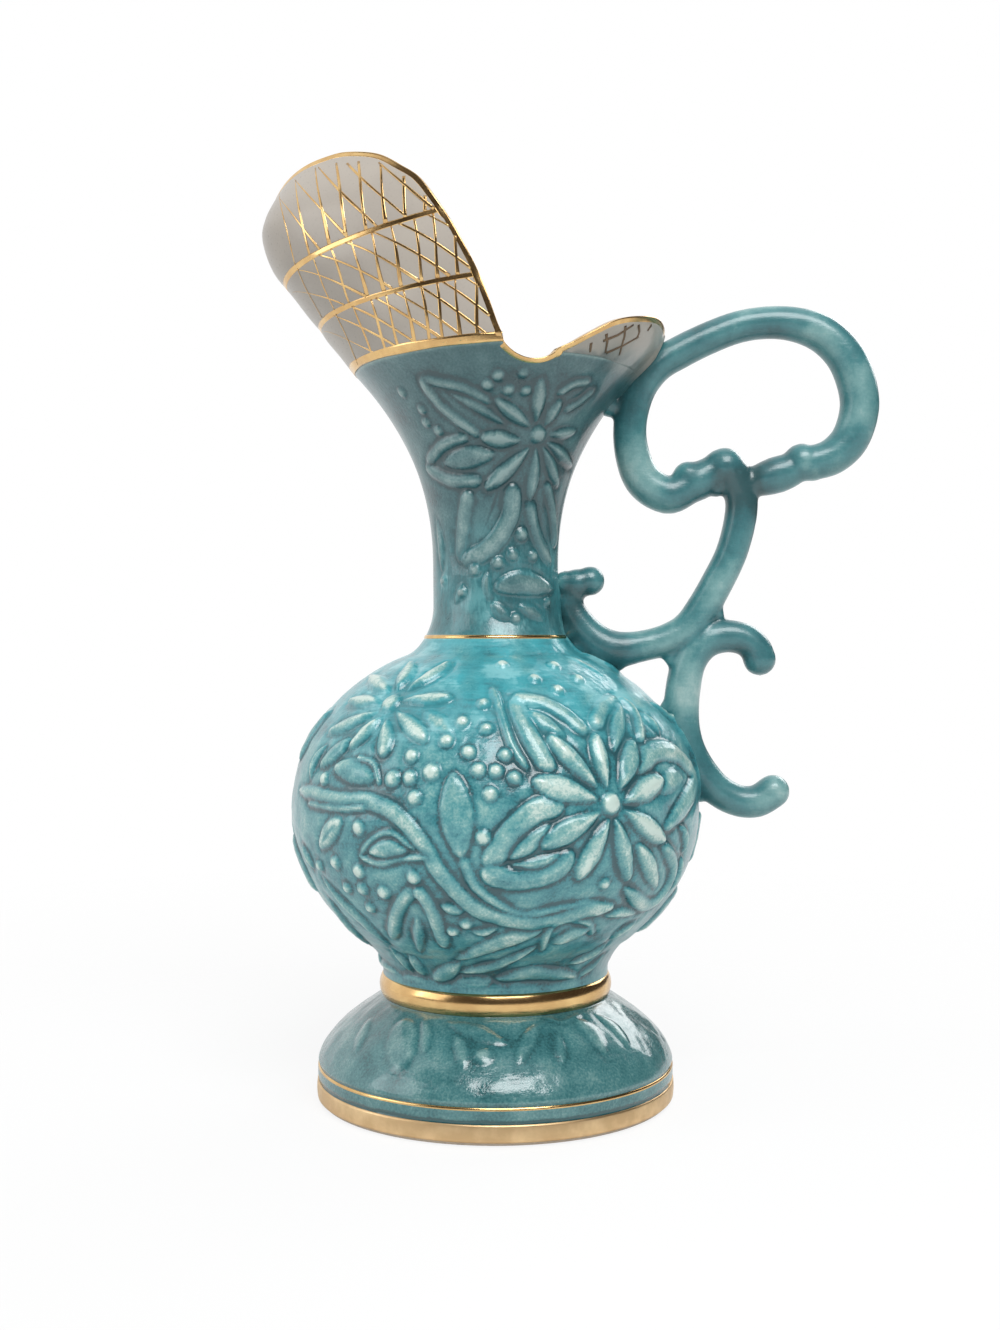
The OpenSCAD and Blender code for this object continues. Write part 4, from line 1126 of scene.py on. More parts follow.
@dataclass
class Belly(GlazedWall):
    """The round belly between waist and neck."""

    waist_r: float = WAIST_R
    seam_z: float = WAIST_SEAM_Z
    waist_top_z: float = 33.4
    round_r: float = 52.6
    middle_z: float = 74.8
    low_rise: float = 44.4
    high_rise: float = 43.4
    neck_root_r: float = NECK_ROOT_R
    neck_z: float = NECK_SEAM_Z
    low_share: float = 0.64
    high_share: float = 0.43
    low_bend_share: float = 0.35
    high_bend_shares: Pair = (0.5, 0.25)
    wall: float = 3.4
    inside_drop: float = 0.2
    columns: int = 400
    rows: int = 216
    inner_rows: int = 14

    def outline(self) -> Outline:
        """Returns the outside of the belly."""
        low, high = -math.acos(self.low_share), math.acos(self.high_share)
        turns = np.linspace(low, high, 160)
        rises = np.where(turns < 0.0, self.low_rise, self.high_rise)
        ball = np.column_stack([self.round_r * np.cos(turns), self.middle_z + rises * np.sin(turns)])
        waist = np.array([self.waist_r, self.waist_top_z])
        low_bend = np.array([self.waist_r, mix(waist[1], ball[0, 1], self.low_bend_share)])
        root = np.array([self.neck_root_r, self.neck_z])
        high_bend = mix(ball[-1], root, np.array(self.high_bend_shares))
        shares = np.linspace(0.0, 1.0, 16)[1:-1, None]
        bends = [
            mix(mix(a, b, shares), mix(b, c, shares), shares)
            for a, b, c in ((waist, low_bend, ball[0]), (ball[-1], high_bend, root))
        ]
        line = np.vstack([[self.waist_r, self.seam_z], waist, bends[0], ball, bends[1], root])
        return Outline(line[:, 0], line[:, 1])

    def build(self, shop: Workshop, handle: "Handle") -> None:
        """Builds the two moulded halves of the belly.

        Args:
            shop: Finishes and places the pieces.
            handle: The handle that is luted to the belly.
        """
        outline = self.outline()
        relief = Relief(outline, BELLY_SPRIGS)
        nodes = ("belly", "belly_blooms", "belly_sepals", "belly_leaves", "belly_berries", "belly_vine")
        outside = outline.rows(self.rows + 1)
        inside = np.linspace(self.neck_z - self.inside_drop, self.seam_z + self.wall, self.inner_rows)
        heights = np.concatenate([outside, inside, outside[:1]])[:, None]
        depth = np.zeros((len(heights), 1))
        depth[len(outside):-1] = self.wall
        for name, start in (("belly_front_half", -math.pi), ("belly_back_half", 0.0)):
            turns = np.linspace(start, start + math.pi, self.columns + 1)
            mesh = sheet_mesh(name, around(outline.radius(heights) - depth, turns, heights))
            self.press_sprigs(mesh, relief, self.waist_top_z, lambda bare: self.neck_z, handle)
            shop.put(mesh, (BELLY_GLAZE,), nodes)


@dataclass
class Neck(GlazedWall):
    """The trumpet neck, cut to the spout's seam, the dip and the back lip's seam."""

    root_r: float = NECK_ROOT_R
    slim_r: float = 16.2
    low_z: float = NECK_SEAM_Z
    root_h: float = 8.0
    flare_z: float = 136.0
    mouth_z: float = 187.0
    flare_r: float = 37.0
    flare_power: float = 2.3
    wall: float = 3.0
    over_h: float = 4.0
    low_fade: Pair = (0.8, 3.8)
    high_fade: Pair = (1.0, 5.0)
    wavers: tuple[Waver, ...] = (Waver(0.08, 22.0, 5),)
    inside_pale: float = 0.9
    contrast: float = 1.3
    pool: float = 1.9
    lip_pale: float = 0.45
    lip_rise: Pair = (-4.0, 0.0)
    lip_turns: Pair = (0.8, 0.5)
    fresh_and_painted_toplight_z: Pair = (152.0, 132.0)
    fresh_and_painted_toplight_tones: Pair = (0.6, 0.4)
    fresh_and_painted_toplight_share: float = 0.6
    fresh_and_painted_toplight_waver: Waver = Waver(0.3, 12.0, 8)
    columns: int = 420
    rows: int = 170
    inner_rows: int = 36

    def radius(self, z: Array) -> Array:
        """Returns the outside radius at each height."""
        root = np.clip(self.low_z + self.root_h - z, 0.0, None) / self.root_h
        flare = np.clip(z - self.flare_z, 0.0, None) / (self.mouth_z - self.flare_z)
        drawn = (self.root_r - self.slim_r) * root ** 2
        return self.slim_r + drawn + (self.flare_r - self.slim_r) * flare ** self.flare_power

    def outline(self) -> Outline:
        """Returns the outside of the neck."""
        heights = np.linspace(self.low_z, self.mouth_z + self.over_h, 300)
        return Outline(self.radius(heights), heights)

    def build(self, shop: Workshop, mouth: "Mouth", handle: "Handle") -> None:
        """Builds the neck, whose glaze turns pale below the back lip.

        Args:
            shop: Finishes and places the piece.
            mouth: The mouth that the neck is cut to.
            handle: The handle that is luted to the neck.
        """
        outline = self.outline()
        relief = Relief(outline, NECK_SPRIGS, height_share=0.72, ground_tone=0.4, soft=0.6)
        rise = np.linspace(0.0, 1.0, self.rows + 1)
        fall = np.linspace(1.0, 0.0, self.inner_rows)
        up_shares = np.concatenate([rise, fall, [0.0]])[:, None]
        depth = np.zeros((len(up_shares), 1))
        depth[len(rise):-1] = self.wall
        turns = np.linspace(0.0, 2.0 * np.pi, self.columns + 1)
        z = mix(self.low_z, mouth.neck_top(turns), up_shares)
        mesh = sheet_mesh("neck_skin", around(self.radius(z) - depth, turns, z))
        skin = self.press_sprigs(
            mesh, relief, self.low_z, lambda bare: mouth.neck_top(turn_of(bare)), handle
        )
        points = read_points(mesh)
        near_lip = ramp(points[:, 2] - mouth.lip_seam_z, self.lip_rise)
        blend = near_lip * ramp(np.abs(turn_of(points)), self.lip_turns)
        write_value(mesh, PALE, np.where(skin, self.lip_pale * blend, self.inside_pale))
        nodes = ("neck", "neck_blooms", "neck_leaves", "neck_berries")
        shop.put(mesh, (NECK_GLAZE,), nodes)


@dataclass
class Foot:
    """The domed foot with its plinth, hollow underside and bare standing ring."""

    foot_r: float = 46.0
    plinth_h: float = 9.2
    top_z: float = WAIST_SEAM_Z
    dome_top_z: float = 26.2
    dome_power: float = 1.7
    waist_r: float = WAIST_R
    wall: float = 5.0
    top_wall: float = 4.4
    stand_w: float = 5.4
    bevel: float = 0.8
    dome_drop: float = 1.5
    low_fade: Pair = (1.5, 4.5)
    high_fade: Pair = (0.0, 1.2)
    wavers: tuple[Waver, ...] = (Waver(0.16, 24.0, 9), Waver(0.1, 9.0, 19))
    step_depth: float = 0.45
    step_h: float = 0.45
    shade_z: float = 5.4
    shade_h: float = 0.5
    shade_depth: float = 0.3
    shade_waver: Waver = Waver(0.15, 14.0, 12)
    plinth_tone: float = 0.42
    # Lowest tone, below the pooled end of the ramp, so that the painted shade line stays dark
    darkest: float = -0.5
    pool: float = 1.2
    bare_low: float = 0.1
    bare_depth: float = 1.0
    columns: int = 360
    rows: int = 100
    inner_rows: int = 24

    def outline(self) -> Outline:
        """Returns the outside of the foot from its bevel to its top."""
        shares = np.linspace(0.0, 1.0, 80)
        dome_r = self.waist_r + (self.foot_r - self.waist_r) * (1.0 - shares ** self.dome_power)
        dome_z = mix(self.plinth_h, self.dome_top_z, shares)
        low = np.array([[self.foot_r - self.bevel, 0.0], [self.foot_r, self.bevel]])
        line = np.vstack([low, np.column_stack([dome_r, dome_z]), [self.waist_r, self.top_z]])
        return Outline(line[:, 0], line[:, 1])

    def build(self, shop: Workshop) -> None:
        """Builds the foot.

        Args:
            shop: Finishes and places the piece.
        """
        outline = self.outline()
        relief = Relief(
            outline, FOOT_SPRIGS, height_share=0.5, ground_tone=0.45, soft=0.9, moat_share=0.4
        )
        skin_z = outline.rows(self.rows + 1)
        skin = np.column_stack([outline.radius(skin_z), skin_z])
        under_z = np.linspace(self.top_z - self.top_wall, 0.0, self.inner_rows)
        under = np.column_stack([outline.radius(under_z) - self.wall, under_z])
        under[-1, 0] = self.foot_r - self.stand_w
        line = np.vstack([skin, [0.0, self.top_z], [0.0, under_z[0]], under, skin[:1]])
        turns = np.linspace(0.0, 2.0 * np.pi, self.columns + 1)
        mesh = sheet_mesh("foot_skin", around(line[:, :1], turns, line[:, 1:]))
        points = read_points(mesh)
        dome = outline.skin(points) & (points[:, 2] > self.plinth_h - self.dome_drop)
        bare = points[dome]
        lift, tone = relief.press(bare)
        rise = bare[:, 2] - self.plinth_h
        fade = ramp(rise, self.low_fade) * ramp(self.dome_top_z - bare[:, 2], self.high_fade)
        lift = (lift + sum(waver.at(bare) for waver in self.wavers)) * fade
        lift -= self.step_depth * np.exp(-(rise / self.step_h) ** 2)
        points[dome] += outline.outward(bare) * lift[:, None]
        groove = self.shade_line(points)
        points -= unit(points * LEVEL) * (self.shade_depth * groove)[:, None]
        write_points(mesh, points)
        # Painted shade: the groove line above the gilt rim is darkened in the glaze's tone
        tones = self.plinth_tone - groove
        tones[dome] = mix(relief.ground_tone, tone, fade)
        hollow = hollowness(mesh, CALM_ROUNDS)
        write_value(mesh, TONE, np.clip(tones - self.pool * hollow, self.darkest, BRIGHTEST))
        bare_faces = [self.is_bare(face.center, outline) for face in mesh.polygons]
        shop.put(mesh, (FOOT_GLAZE, BareClay()), ("foot", "foot_lappets"))
        mesh.polygons.foreach_set("material_index", bare_faces)

    def shade_line(self, points: Array) -> Array:
        """Returns how deep places lie in the dark line above the gilt rim, a groove with painted shade,
        from 0 to 1.
        """
        line_z = self.shade_z + self.shade_waver.at(points)
        on_plinth = reach_of(points) > self.foot_r - 0.1
        return np.exp(-((points[:, 2] - line_z) / self.shade_h) ** 2) * on_plinth

    def is_bare(self, spot: Vector, outline: Outline) -> bool:
        """Tells whether a place lies under the foot, where the clay has no glaze."""
        inside = spot.xy.length < outline.radius(spot.z) - self.bare_depth
        return bool(inside or spot.z < self.bevel - self.bare_low)


# Mouth

@dataclass
class Mouth:
    """The mouth's edge: the pouring tongue, the dip on each side and the back lip."""

    neck: Neck = field(default_factory=Neck)
    spout_top_z: float = 237.6
    spout_reach: float = 59.35
    spout_half_w: float = 37.6
    front_seam_z: float = 186.2
    side_seam_z: float = 188.3
    middle_shares: tuple[float, float] = (0.36, 0.225)
    upper_shares: tuple[float, float] = (0.715, 0.44)
    tier_swell: float = 0.7
    blend_share: float = 0.3
    rim_wall: float = 2.4
    lip_top_z: float = 197.6
    lip_reach: float = 43.6
    lip_seam_z: float = 186.6
    notch_x: float = 9.2
    notch_z: float = 184.8
    notch_r: float = 9.6
    swell_power: float = 0.8
    front_reach_shares: tuple[Pair, ...] = (
        (0, 0), (0.1, 0.15), (0.2, 0.345), (0.36, 0.61), (0.5, 0.88),
        (0.66, 1), (0.76, 0.975), (0.86, 0.87), (1, 0.7),
    )
    side_width_shares: tuple[Pair, ...] = ((0, 1), (0.35, 1), (0.6, 0.97), (0.82, 0.88), (1, 0.76))
    spout_edge_shares: tuple[Pair, ...] = (
        (0, 0.865), (0.06, 0.875), (0.16, 0.928), (0.28, 0.972), (0.39, 0.993), (0.49, 1), (0.62, 0.965),
        (0.71, 0.888), (0.78, 0.8), (0.845, 0.63), (0.9, 0.42), (0.945, 0.22), (0.975, 0.09), (1, 0.02),
    )
    lip_edge_shares: tuple[Pair, ...] = (
        (0, 0.86), (0.3, 1), (0.5, 0.92), (0.69, 0.74), (0.83, 0.43), (0.92, 0.2), (1, 0.05),
    )

    def __post_init__(self) -> None:
        """Works out where the dip meets the spout and the back lip."""
        self.spout_turn = math.pi / 2 + math.asin(self.dip_end(self.side_seam_z, -1.0))
        self.lip_turn = math.acos(self.dip_end(self.lip_seam_z, 1.0))
        self.spout_h = self.spout_top_z - self.front_seam_z

    def dip_end(self, seam_z: float, way: float) -> float:
        """Returns where the dip's front or back end meets a seam, as a share of the neck's radius."""
        span = math.sqrt(self.notch_r ** 2 - (self.notch_z + self.notch_r - seam_z) ** 2)
        return (self.notch_x + way * span) / float(self.neck.radius(seam_z))

    def front_seam(self, turn: Array) -> Array:
        """Returns the height of the spout's seam at turns from the front."""
        return mix(self.side_seam_z, self.front_seam_z, np.cos(turn))

    def band_z(self, shares: tuple[float, float], turn: Array) -> Array:
        """Returns the height of a gilt band at turns from the front."""
        return self.front_seam_z + self.spout_h * mix(shares[0], shares[1], np.cos(turn))

    def spout_edge_z(self, turn: Array) -> Array:
        """Returns the height of the spout's edge at turns from the front."""
        share = lookup(self.spout_edge_shares, np.abs(turn) / self.spout_turn)
        return mix(self.front_seam(turn), self.spout_top_z, share)

    def lip_edge_z(self, turn: Array) -> Array:
        """Returns the height of the back lip's edge at turns from the back."""
        share = lookup(self.lip_edge_shares, np.abs(turn) / self.lip_turn)
        return mix(self.lip_seam_z, self.lip_top_z, share)

    def swell(self, turn: Array, z: Array) -> Array:
        """Returns how far the spout's tiers swell between the gilt bands."""
        low = self.front_seam(turn)
        middle = self.band_z(self.middle_shares, turn)
        upper = self.band_z(self.upper_shares, turn)
        share = np.where(z < middle, (z - low) / (middle - low), (z - middle) / (upper - middle))
        share = np.where(z > upper, (z - upper) / np.maximum(self.spout_top_z - upper, 1.0), share)
        return self.tier_swell * np.sin(np.pi * np.clip(share, 0.0, 1.0)) ** self.swell_power

    def spout_at(self, turn: Array, z: Array, out: Array | float = 0.0) -> Array:
        """Gives places on the spout.

        Args:
            turn: Turn from the front, in radians.
            z: Height.
            out: Distance out of the outside wall.

        Returns:
            The places.
        """
        share = (z - self.front_seam_z) / self.spout_h
        root = self.neck.radius(self.front_seam(turn)) + out
        grown = ease(share / self.blend_share)
        front_r = self.neck.radius(self.front_seam_z)
        reach = mix(front_r, self.spout_reach, lookup(self.front_reach_shares, share)) + out
        side = self.spout_half_w * lookup(self.side_width_shares, share) + out
        swell = self.swell(turn, z)
        x = -(mix(np.maximum(root, reach), reach, grown) + swell) * np.cos(turn)
        y = -(mix(root, side, grown) + swell) * np.sin(turn)
        return np.column_stack([x, y, z])

    def lip_at(self, turn: Array, z: Array, out: Array | float) -> Array:
        """Returns places on the back lip, at turns from the back, heights and distances out of it."""
        return around(self.lip_radius(z) + out, turn, z)

    def lip_radius(self, z: Array) -> Array:
        """Returns the back lip's outside radius, which runs on into the neck below the seam."""
        rise = np.clip((z - self.lip_seam_z) / (self.lip_top_z - self.lip_seam_z), 0.0, None)
        root = self.neck.radius(np.minimum(z, self.lip_seam_z))
        return mix(root, self.lip_reach, np.sin(np.pi / 2 * rise))

    def lip_outline(self) -> Outline:
        """Returns the outside of the back lip and of the neck below it."""
        heights = np.linspace(self.neck.low_z, self.lip_top_z + 1.0, 600)
        return Outline(self.lip_radius(heights), heights)

    def neck_top(self, turn: Array) -> Array:
        """Returns the height at which the neck ends, at turns from the back."""
        turn = np.abs((turn + np.pi) % (2.0 * np.pi) - np.pi)
        front = np.pi - turn
        z = np.where(front < self.spout_turn, self.front_seam(front), self.lip_seam_z)
        dip = (front >= self.spout_turn) & (turn > self.lip_turn)
        low = np.full(len(turn), self.notch_z)
        for _ in range(12):
            x = self.neck.radius(low) * np.cos(turn)
            inside = np.clip(self.notch_r ** 2 - (x - self.notch_x) ** 2, 0.0, None)
            low = self.notch_z + self.notch_r - np.sqrt(inside)
        return np.where(dip, np.minimum(low, self.side_seam_z), z)

    def edge_pair(self, turn: Array, below: Array) -> tuple[Array, Array]:
        """Returns places below the outer and inner edge of the mouth, at turns from the back."""
        turn = (turn + np.pi) % (2.0 * np.pi) - np.pi
        side = np.abs(turn)
        front = np.where(turn < 0.0, 1.0, -1.0) * (np.pi - side)
        spout_z = self.spout_edge_z(front) - below
        lip_z = self.lip_edge_z(turn) - below
        dip_z = self.neck_top(turn) - below
        dip_r = self.neck.radius(dip_z)
        is_spout = (np.abs(front) < self.spout_turn)[:, None]
        is_lip = (side < self.lip_turn)[:, None]
        pairs = []
        for depth in (0.0, 1.0):
            spout = self.spout_at(front, spout_z, -depth * self.rim_wall)
            lip = self.lip_at(turn, lip_z, -depth * self.rim_wall)
            dip = around(dip_r - depth * self.neck.wall, turn, dip_z)
            pairs.append(np.where(is_spout, spout, np.where(is_lip, lip, dip)))
        return pairs[0], pairs[1]


@dataclass(frozen=True)
class PenPlan:
    """How one tier's lattice is drawn, in millimetres along the spout as seen from the side.

    The steep strokes stand pitch apart from start to end, and lean by steep at the front and hardly
    at the back. The flatter strokes that cross them all lean by flat.
    """

    start: float
    end: float
    pitch: float
    steep: float
    flat: float


@dataclass
class MouthPieces:
    """The spout, the back lip, and the gilding on them."""

    mouth: Mouth
    spout_columns: int = 220
    spout_rows: int = 70
    lip_columns: int = 140
    lip_rows: int = 24
    rim_rows: int = 8
    rim_rise: float = 0.2
    lip_lap: float = 0.6
    lap_turns: Pair = (0.85, 0.55)
    lip_tone: float = 0.42
    lip_waver: Waver = Waver(0.8, 7.0, 23)
    teal_share: float = 0.55
    teal_rise: Pair = (4.6, 0.0)
    teal_turns: Pair = (0.95, 0.6)
    crease_dark: float = 0.36
    crease_share: float = 0.5
    crease_rise: Pair = (1.6, 0.0)
    crease_turns: Pair = (0.5, 0.8)
    root_lifts: Pair = (MOST_LIFT, 0.4)
    root_rise: Pair = (0.0, 8.0)
    gilt: float = 0.07
    crown: float = 0.25
    base_band_w: float = 2.2
    base_band_rise: float = 0.9
    band_w: float = 1.5
    band_turn: float = 0.5
    band_columns: int = 400
    band_waver: Waver = Waver(0.12, 17.0, 21)
    rim_gold_rise: float = 0.27
    rim_gold_drop: float = 1.5
    rim_gold_cover: float = 0.119
    rim_square: float = 0.15
    rim_columns: int = 520
    rim_sides: int = 24
    lip_gold_drop: float = 1.8
    lip_gold_turn: float = 0.4
    pen_w: float = 0.95
    pen_seed: int = 7
    pen_shake: float = 0.4
    pen_bow: float = 0.15
    bow_rate: float = 5.0
    wave_start: float = 6.0
    pen_swing: float = 0.18
    swing_rates: Pair = (2.0, 6.0)
    pen_stops: Pair = (1.2, 2.6)
    pen_points: int = 17
    least_points: int = 6
    pen_gaps: Pair = (0.6, 0.4)
    pen_front: Pair = (0.3, 0.9)
    pen_front_shares: Pair = (0.15, 0.3)
    pen_end: float = 0.5
    back_lean: float = -0.3
    steep_heavy: float = 1.1
    flat_heavy: float = 0.75
    lip_heavy: float = 0.8
    flat_pitches: float = 1.5
    pen_plans: tuple[PenPlan, ...] = (
        PenPlan(-34.0, -3.0, 3.7, -4.6, -17.4), PenPlan(-44.0, -6.0, 4.4, -5.2, -18.5),
        PenPlan(-50.0, -15.0, 4.8, -6.0, -17.0),
    )
    lip_strokes: tuple[tuple[Pixel, ...], ...] = (
        ((606, 335), (607, 343), (605, 354)), ((625, 327), (624, 338), (619, 356)),
        ((638, 326), (639, 333), (636, 340)), ((651, 326), (647, 332)), ((591, 344), (590, 353)),
        ((603, 342), (618, 336), (633, 326)), ((606, 354), (622, 347), (638, 338)),
    )

    def build(self, shop: Workshop, handle: "Handle") -> None:
        """Builds the pieces of the mouth.

        Args:
            shop: Finishes and places the pieces.
            handle: The handle that is luted to the back lip.
        """
        self.build_spout(shop)
        self.build_lip(shop, handle)
        self.build_bands(shop)
        self.build_rim(shop)
        self.build_lattice(shop)
        self.build_lip_strokes(shop)

    @staticmethod
    def edge_up(half: Array, along: Array) -> Array:
        """Returns unit arrows that rise out of a wall's edge, from arrows across and along it."""
        up = unit(np.cross(half, along))
        return up * np.sign(up[:, 2:3] + 1e-6)

    def wall_table(self, at: Callable, turns: Array, ends: tuple[Array, Array],
                   rows: int, cover: Array | float) -> Array:
        """Runs a wall's section up the outside, over a round rim and down the inside.

        Args:
            at: Gives places for turns, heights and distances out of the wall.
            turns: Turns across the wall.
            ends: Heights of its lower and upper edge at these turns.
            rows: Rows up the wall.
            cover: How far its lower edge stands out over the wall below.

        Returns:
            Places by row and column.
        """
        shares = np.linspace(0.0, 1.0, rows + 1)
        thick = mix(self.mouth.neck.wall, self.mouth.rim_wall, shares)
        heights = [mix(*ends, share) for share in shares]
        outside = np.array([at(turns, z, cover * (1.0 - share)) for z, share in zip(heights, shares)])
        inside = np.array([at(turns, z, -wall) for z, wall in zip(heights, thick)])
        middle = (outside[-1] + inside[-1]) / 2
        half = (outside[-1] - inside[-1]) / 2
        lift = self.edge_up(half, np.gradient(middle, axis=0)) * self.rim_rise
        over = np.linspace(0.0, np.pi, self.rim_rows + 2)[1:-1]
        rim = np.array([middle + half * math.cos(a) + lift * math.sin(a) for a in over])
        foot = (outside[:1] + inside[:1]) / 2
        return np.concatenate([foot, outside, rim, inside[::-1], foot])

    def spout_turns(self, count: int) -> Array:
        """Returns turns across the spout that crowd towards its side edges."""
        shares = np.linspace(-1.0, 1.0, count)
        return self.mouth.spout_turn * np.sign(shares) * (1.0 - (1.0 - np.abs(shares)) ** 1.5)

    def build_spout(self, shop: Workshop) -> None:
        """Builds the pouring tongue."""
        mouth = self.mouth
        turns = self.spout_turns(self.spout_columns + 1)
        ends = (mouth.front_seam(turns), mouth.spout_edge_z(turns))
        table = self.wall_table(mouth.spout_at, turns, ends, self.spout_rows, 0.0)
        shop.put(sheet_mesh("spout_skin", table), (PaleGlaze(),), ("spout",))

    def build_lip(self, shop: Workshop, handle: "Handle") -> None:
        """Builds the back lip, whose glaze turns from pale to teal towards the handle."""
        mouth = self.mouth
        turns = np.linspace(-mouth.lip_turn, mouth.lip_turn, self.lip_columns + 1)
        lap = ramp(np.abs(turns), self.lap_turns)
        ends = (mouth.lip_seam_z - self.lip_lap * lap, mouth.lip_edge_z(turns))
        table = self.wall_table(mouth.lip_at, turns, ends, self.lip_rows, self.gilt * lap)
        mesh = sheet_mesh("back_lip_skin", table)
        points = read_points(mesh)
        turn = np.abs(turn_of(points))
        outer = reach_of(points) > mouth.lip_radius(points[:, 2]) - mouth.rim_wall / 2
        height = points[:, 2] - mouth.lip_seam_z
        rise = height + self.lip_waver.at(points)
        teal = ramp(rise, self.teal_rise) * ramp(turn, self.teal_turns) * outer
        crease = ramp(rise, self.crease_rise) * ramp(turn, self.crease_turns)
        swelling = np.minimum(handle.fillet(points), mix(*self.root_lifts, ramp(height, self.root_rise)))
        swelling = (swelling * outer)[:, None]
        write_points(mesh, points + mouth.lip_outline().outward(points) * swelling)
        write_value(mesh, TONE, self.lip_tone - self.crease_dark * crease)
        write_value(mesh, PALE, (1.0 - self.teal_share * teal) * (1.0 - self.crease_share * crease))
        shop.put(mesh, (NECK_GLAZE,), ("back_lip",))

    def ribbon(self, work: Work, line: Array, out: Array, widths: Array) -> None:
        """Lays a fine crowned ribbon along a line.

        Args:
            work: The bmesh that gets the ribbon.
            line: Places along the ribbon's middle, on the wall.
            out: Arrows out of the wall at those places.
            widths: Width at each place.
        """
        count = len(line)
        side = unit(np.cross(np.gradient(line, axis=0), out))
        made = bmesh.ops.create_grid(work, x_segments=count - 1, y_segments=4, size=1.0)["verts"]
        for vert in made:
            k = round((vert.co.x + 1.0) / 2.0 * (count - 1))
            across = float(vert.co.y)
            lift = self.gilt * (1.0 - self.crown * across * across)
            vert.co = Vector(line[k] + side[k] * across * widths[k] / 2 + out[k] * lift)

    def close_ribbons(self, work: Work, name: str) -> Mesh:
        """Gives ribbons their thickness and saves them."""
        bmesh.ops.recalc_face_normals(work, faces=work.faces)
        bmesh.ops.solidify(work, geom=work.faces[:], thickness=self.gilt)
        return solid_mesh(work, name)

    def on_spout(self, turns: Array, z: Array) -> tuple[Array, Array]:
        """Returns places on the spout and the arrows out of it."""
        mouth = self.mouth
        step, rise = 0.004, 0.2
        here = mouth.spout_at(turns, z)
        across = mouth.spout_at(turns + step, z) - mouth.spout_at(turns - step, z)
        up = mouth.spout_at(turns, z + rise) - mouth.spout_at(turns, z - rise)
        out = unit(np.cross(up, across))
        return here, out * np.sign((out * here * LEVEL).sum(axis=1))[:, None]

    def build_bands(self, shop: Workshop) -> None:
        """Builds the three gilt bands across the spout."""
        mouth = self.mouth
        turns = self.spout_turns(self.band_columns + 1)
        bands = (
            ("spout_base_gilding", mouth.front_seam(turns) + self.base_band_rise, self.base_band_w),
            ("spout_middle_gilding", mouth.band_z(mouth.middle_shares, turns), self.band_w),
            ("spout_upper_gilding", mouth.band_z(mouth.upper_shares, turns), self.band_w),
        )
        for node, z, width in bands:
            keep = (z < mouth.spout_edge_z(turns)) | (np.abs(turns) < self.band_turn)
            line, out = self.on_spout(turns[keep], z[keep])
            work = bmesh.new()
            self.ribbon(work, line, out, width * (1.0 + self.band_waver.at(line)))
            mesh = self.close_ribbons(work, node.replace("gilding", "gold"))
            shop.put(mesh, (BRIGHT_GOLD,), (node,))

    def build_rim(self, shop: Workshop) -> None:
        """Builds the gilt edge that runs once round the mouth."""
        mouth, count = self.mouth, self.rim_columns
        turns = np.linspace(0.0, 2.0 * np.pi, count + 1)
        back = np.abs((turns + np.pi) % (2.0 * np.pi) - np.pi)
        on_lip = ramp(mouth.lip_turn - back, (0.0, self.lip_gold_turn))
        drops = mix(self.rim_gold_drop, self.lip_gold_drop, on_lip)
        outer, inner = mouth.edge_pair(turns, 0.0 * turns)
        outer_low, inner_low = mouth.edge_pair(turns, drops)
        middle, half = (outer + inner) / 2, (outer - inner) / 2
        along = np.gradient(middle, axis=0)
        along[0] = along[-1] = middle[1] - middle[-2]
        up = self.edge_up(half, along)
        thick = np.linalg.norm(half, axis=1, keepdims=True)
        out = unit(half) * (thick + self.rim_gold_cover)
        outer_fall = self.down_wall(outer_low - outer, along, up) * drops[:, None]
        inner_fall = self.down_wall(inner_low - inner, along, up) * drops[:, None]

        def place(across: Array, around_edge: Array) -> Array:
            """Returns the places round the gilt edge."""
            k = np.rint(across * count).astype(int) % count
            a = 2.0 * np.pi * around_edge
            rise = self.rim_gold_rise * np.clip(np.sin(a), 0.0, None)
            drop = np.clip(-np.sin(a), 0.0, None)[:, None]
            flat = (np.sign(np.cos(a)) * np.abs(np.cos(a)) ** self.rim_square)[:, None]
            fall = mix(inner_fall[k], outer_fall[k], (flat + 1.0) / 2.0)
            return middle[k] + out[k] * flat + up[k] * rise[:, None] + fall * drop

        mesh = grid_mesh("mouth_rim_gold", count, self.rim_sides, place)
        shop.put(mesh, (BRIGHT_GOLD,), ("mouth_rim_gilding",))

    @staticmethod
    def down_wall(fall: Array, along: Array, up: Array) -> Array:
        """Returns unit arrows that lie in a wall and run from its edge, square to it."""
        arrows = unit(np.cross(np.cross(fall, along), along))
        return -arrows * np.sign((arrows * up).sum(axis=1, keepdims=True) + 1e-6)

    def build_lattice(self, shop: Workshop) -> None:
        """Builds the pen-drawn gold lattice of the three tiers, straight as seen from the side."""
        mouth = self.mouth
        work = bmesh.new()
        dice = np.random.default_rng(self.pen_seed)
        fine = np.linspace(0.02, mouth.spout_turn, 200)
        shares = np.linspace(0.0, 1.0, 33)
        middle = mouth.band_z(mouth.middle_shares, fine)
        upper = mouth.band_z(mouth.upper_shares, fine)
        edges = (mouth.front_seam(fine), middle, upper, mouth.spout_top_z)
        for low, high, plan in zip(edges, edges[1:], self.pen_plans):
            ends = (low + self.pen_gaps[0], high - self.pen_gaps[1])
            z = np.array([mix(*ends, share) for share in shares])
            x = np.array([mouth.spout_at(fine, row)[:, 0] for row in z])
            steep = np.arange(plan.start, plan.end, plan.pitch)
            flat = np.arange(plan.start, plan.end - plan.flat, self.flat_pitches * plan.pitch)
            for side in (-1.0, 1.0):
                for start in steep:
                    front = (plan.end - start) / (plan.end - plan.start)
                    run = (start, plan.steep * front + self.back_lean)
                    self.pen_stroke(work, dice, side, run, (fine, x, z), self.steep_heavy)
                for start in flat:
                    self.pen_stroke(work, dice, side, (start, plan.flat), (fine, x, z), self.flat_heavy)
        shop.put(self.close_ribbons(work, "spout_lattice"), (BRIGHT_GOLD,), ())

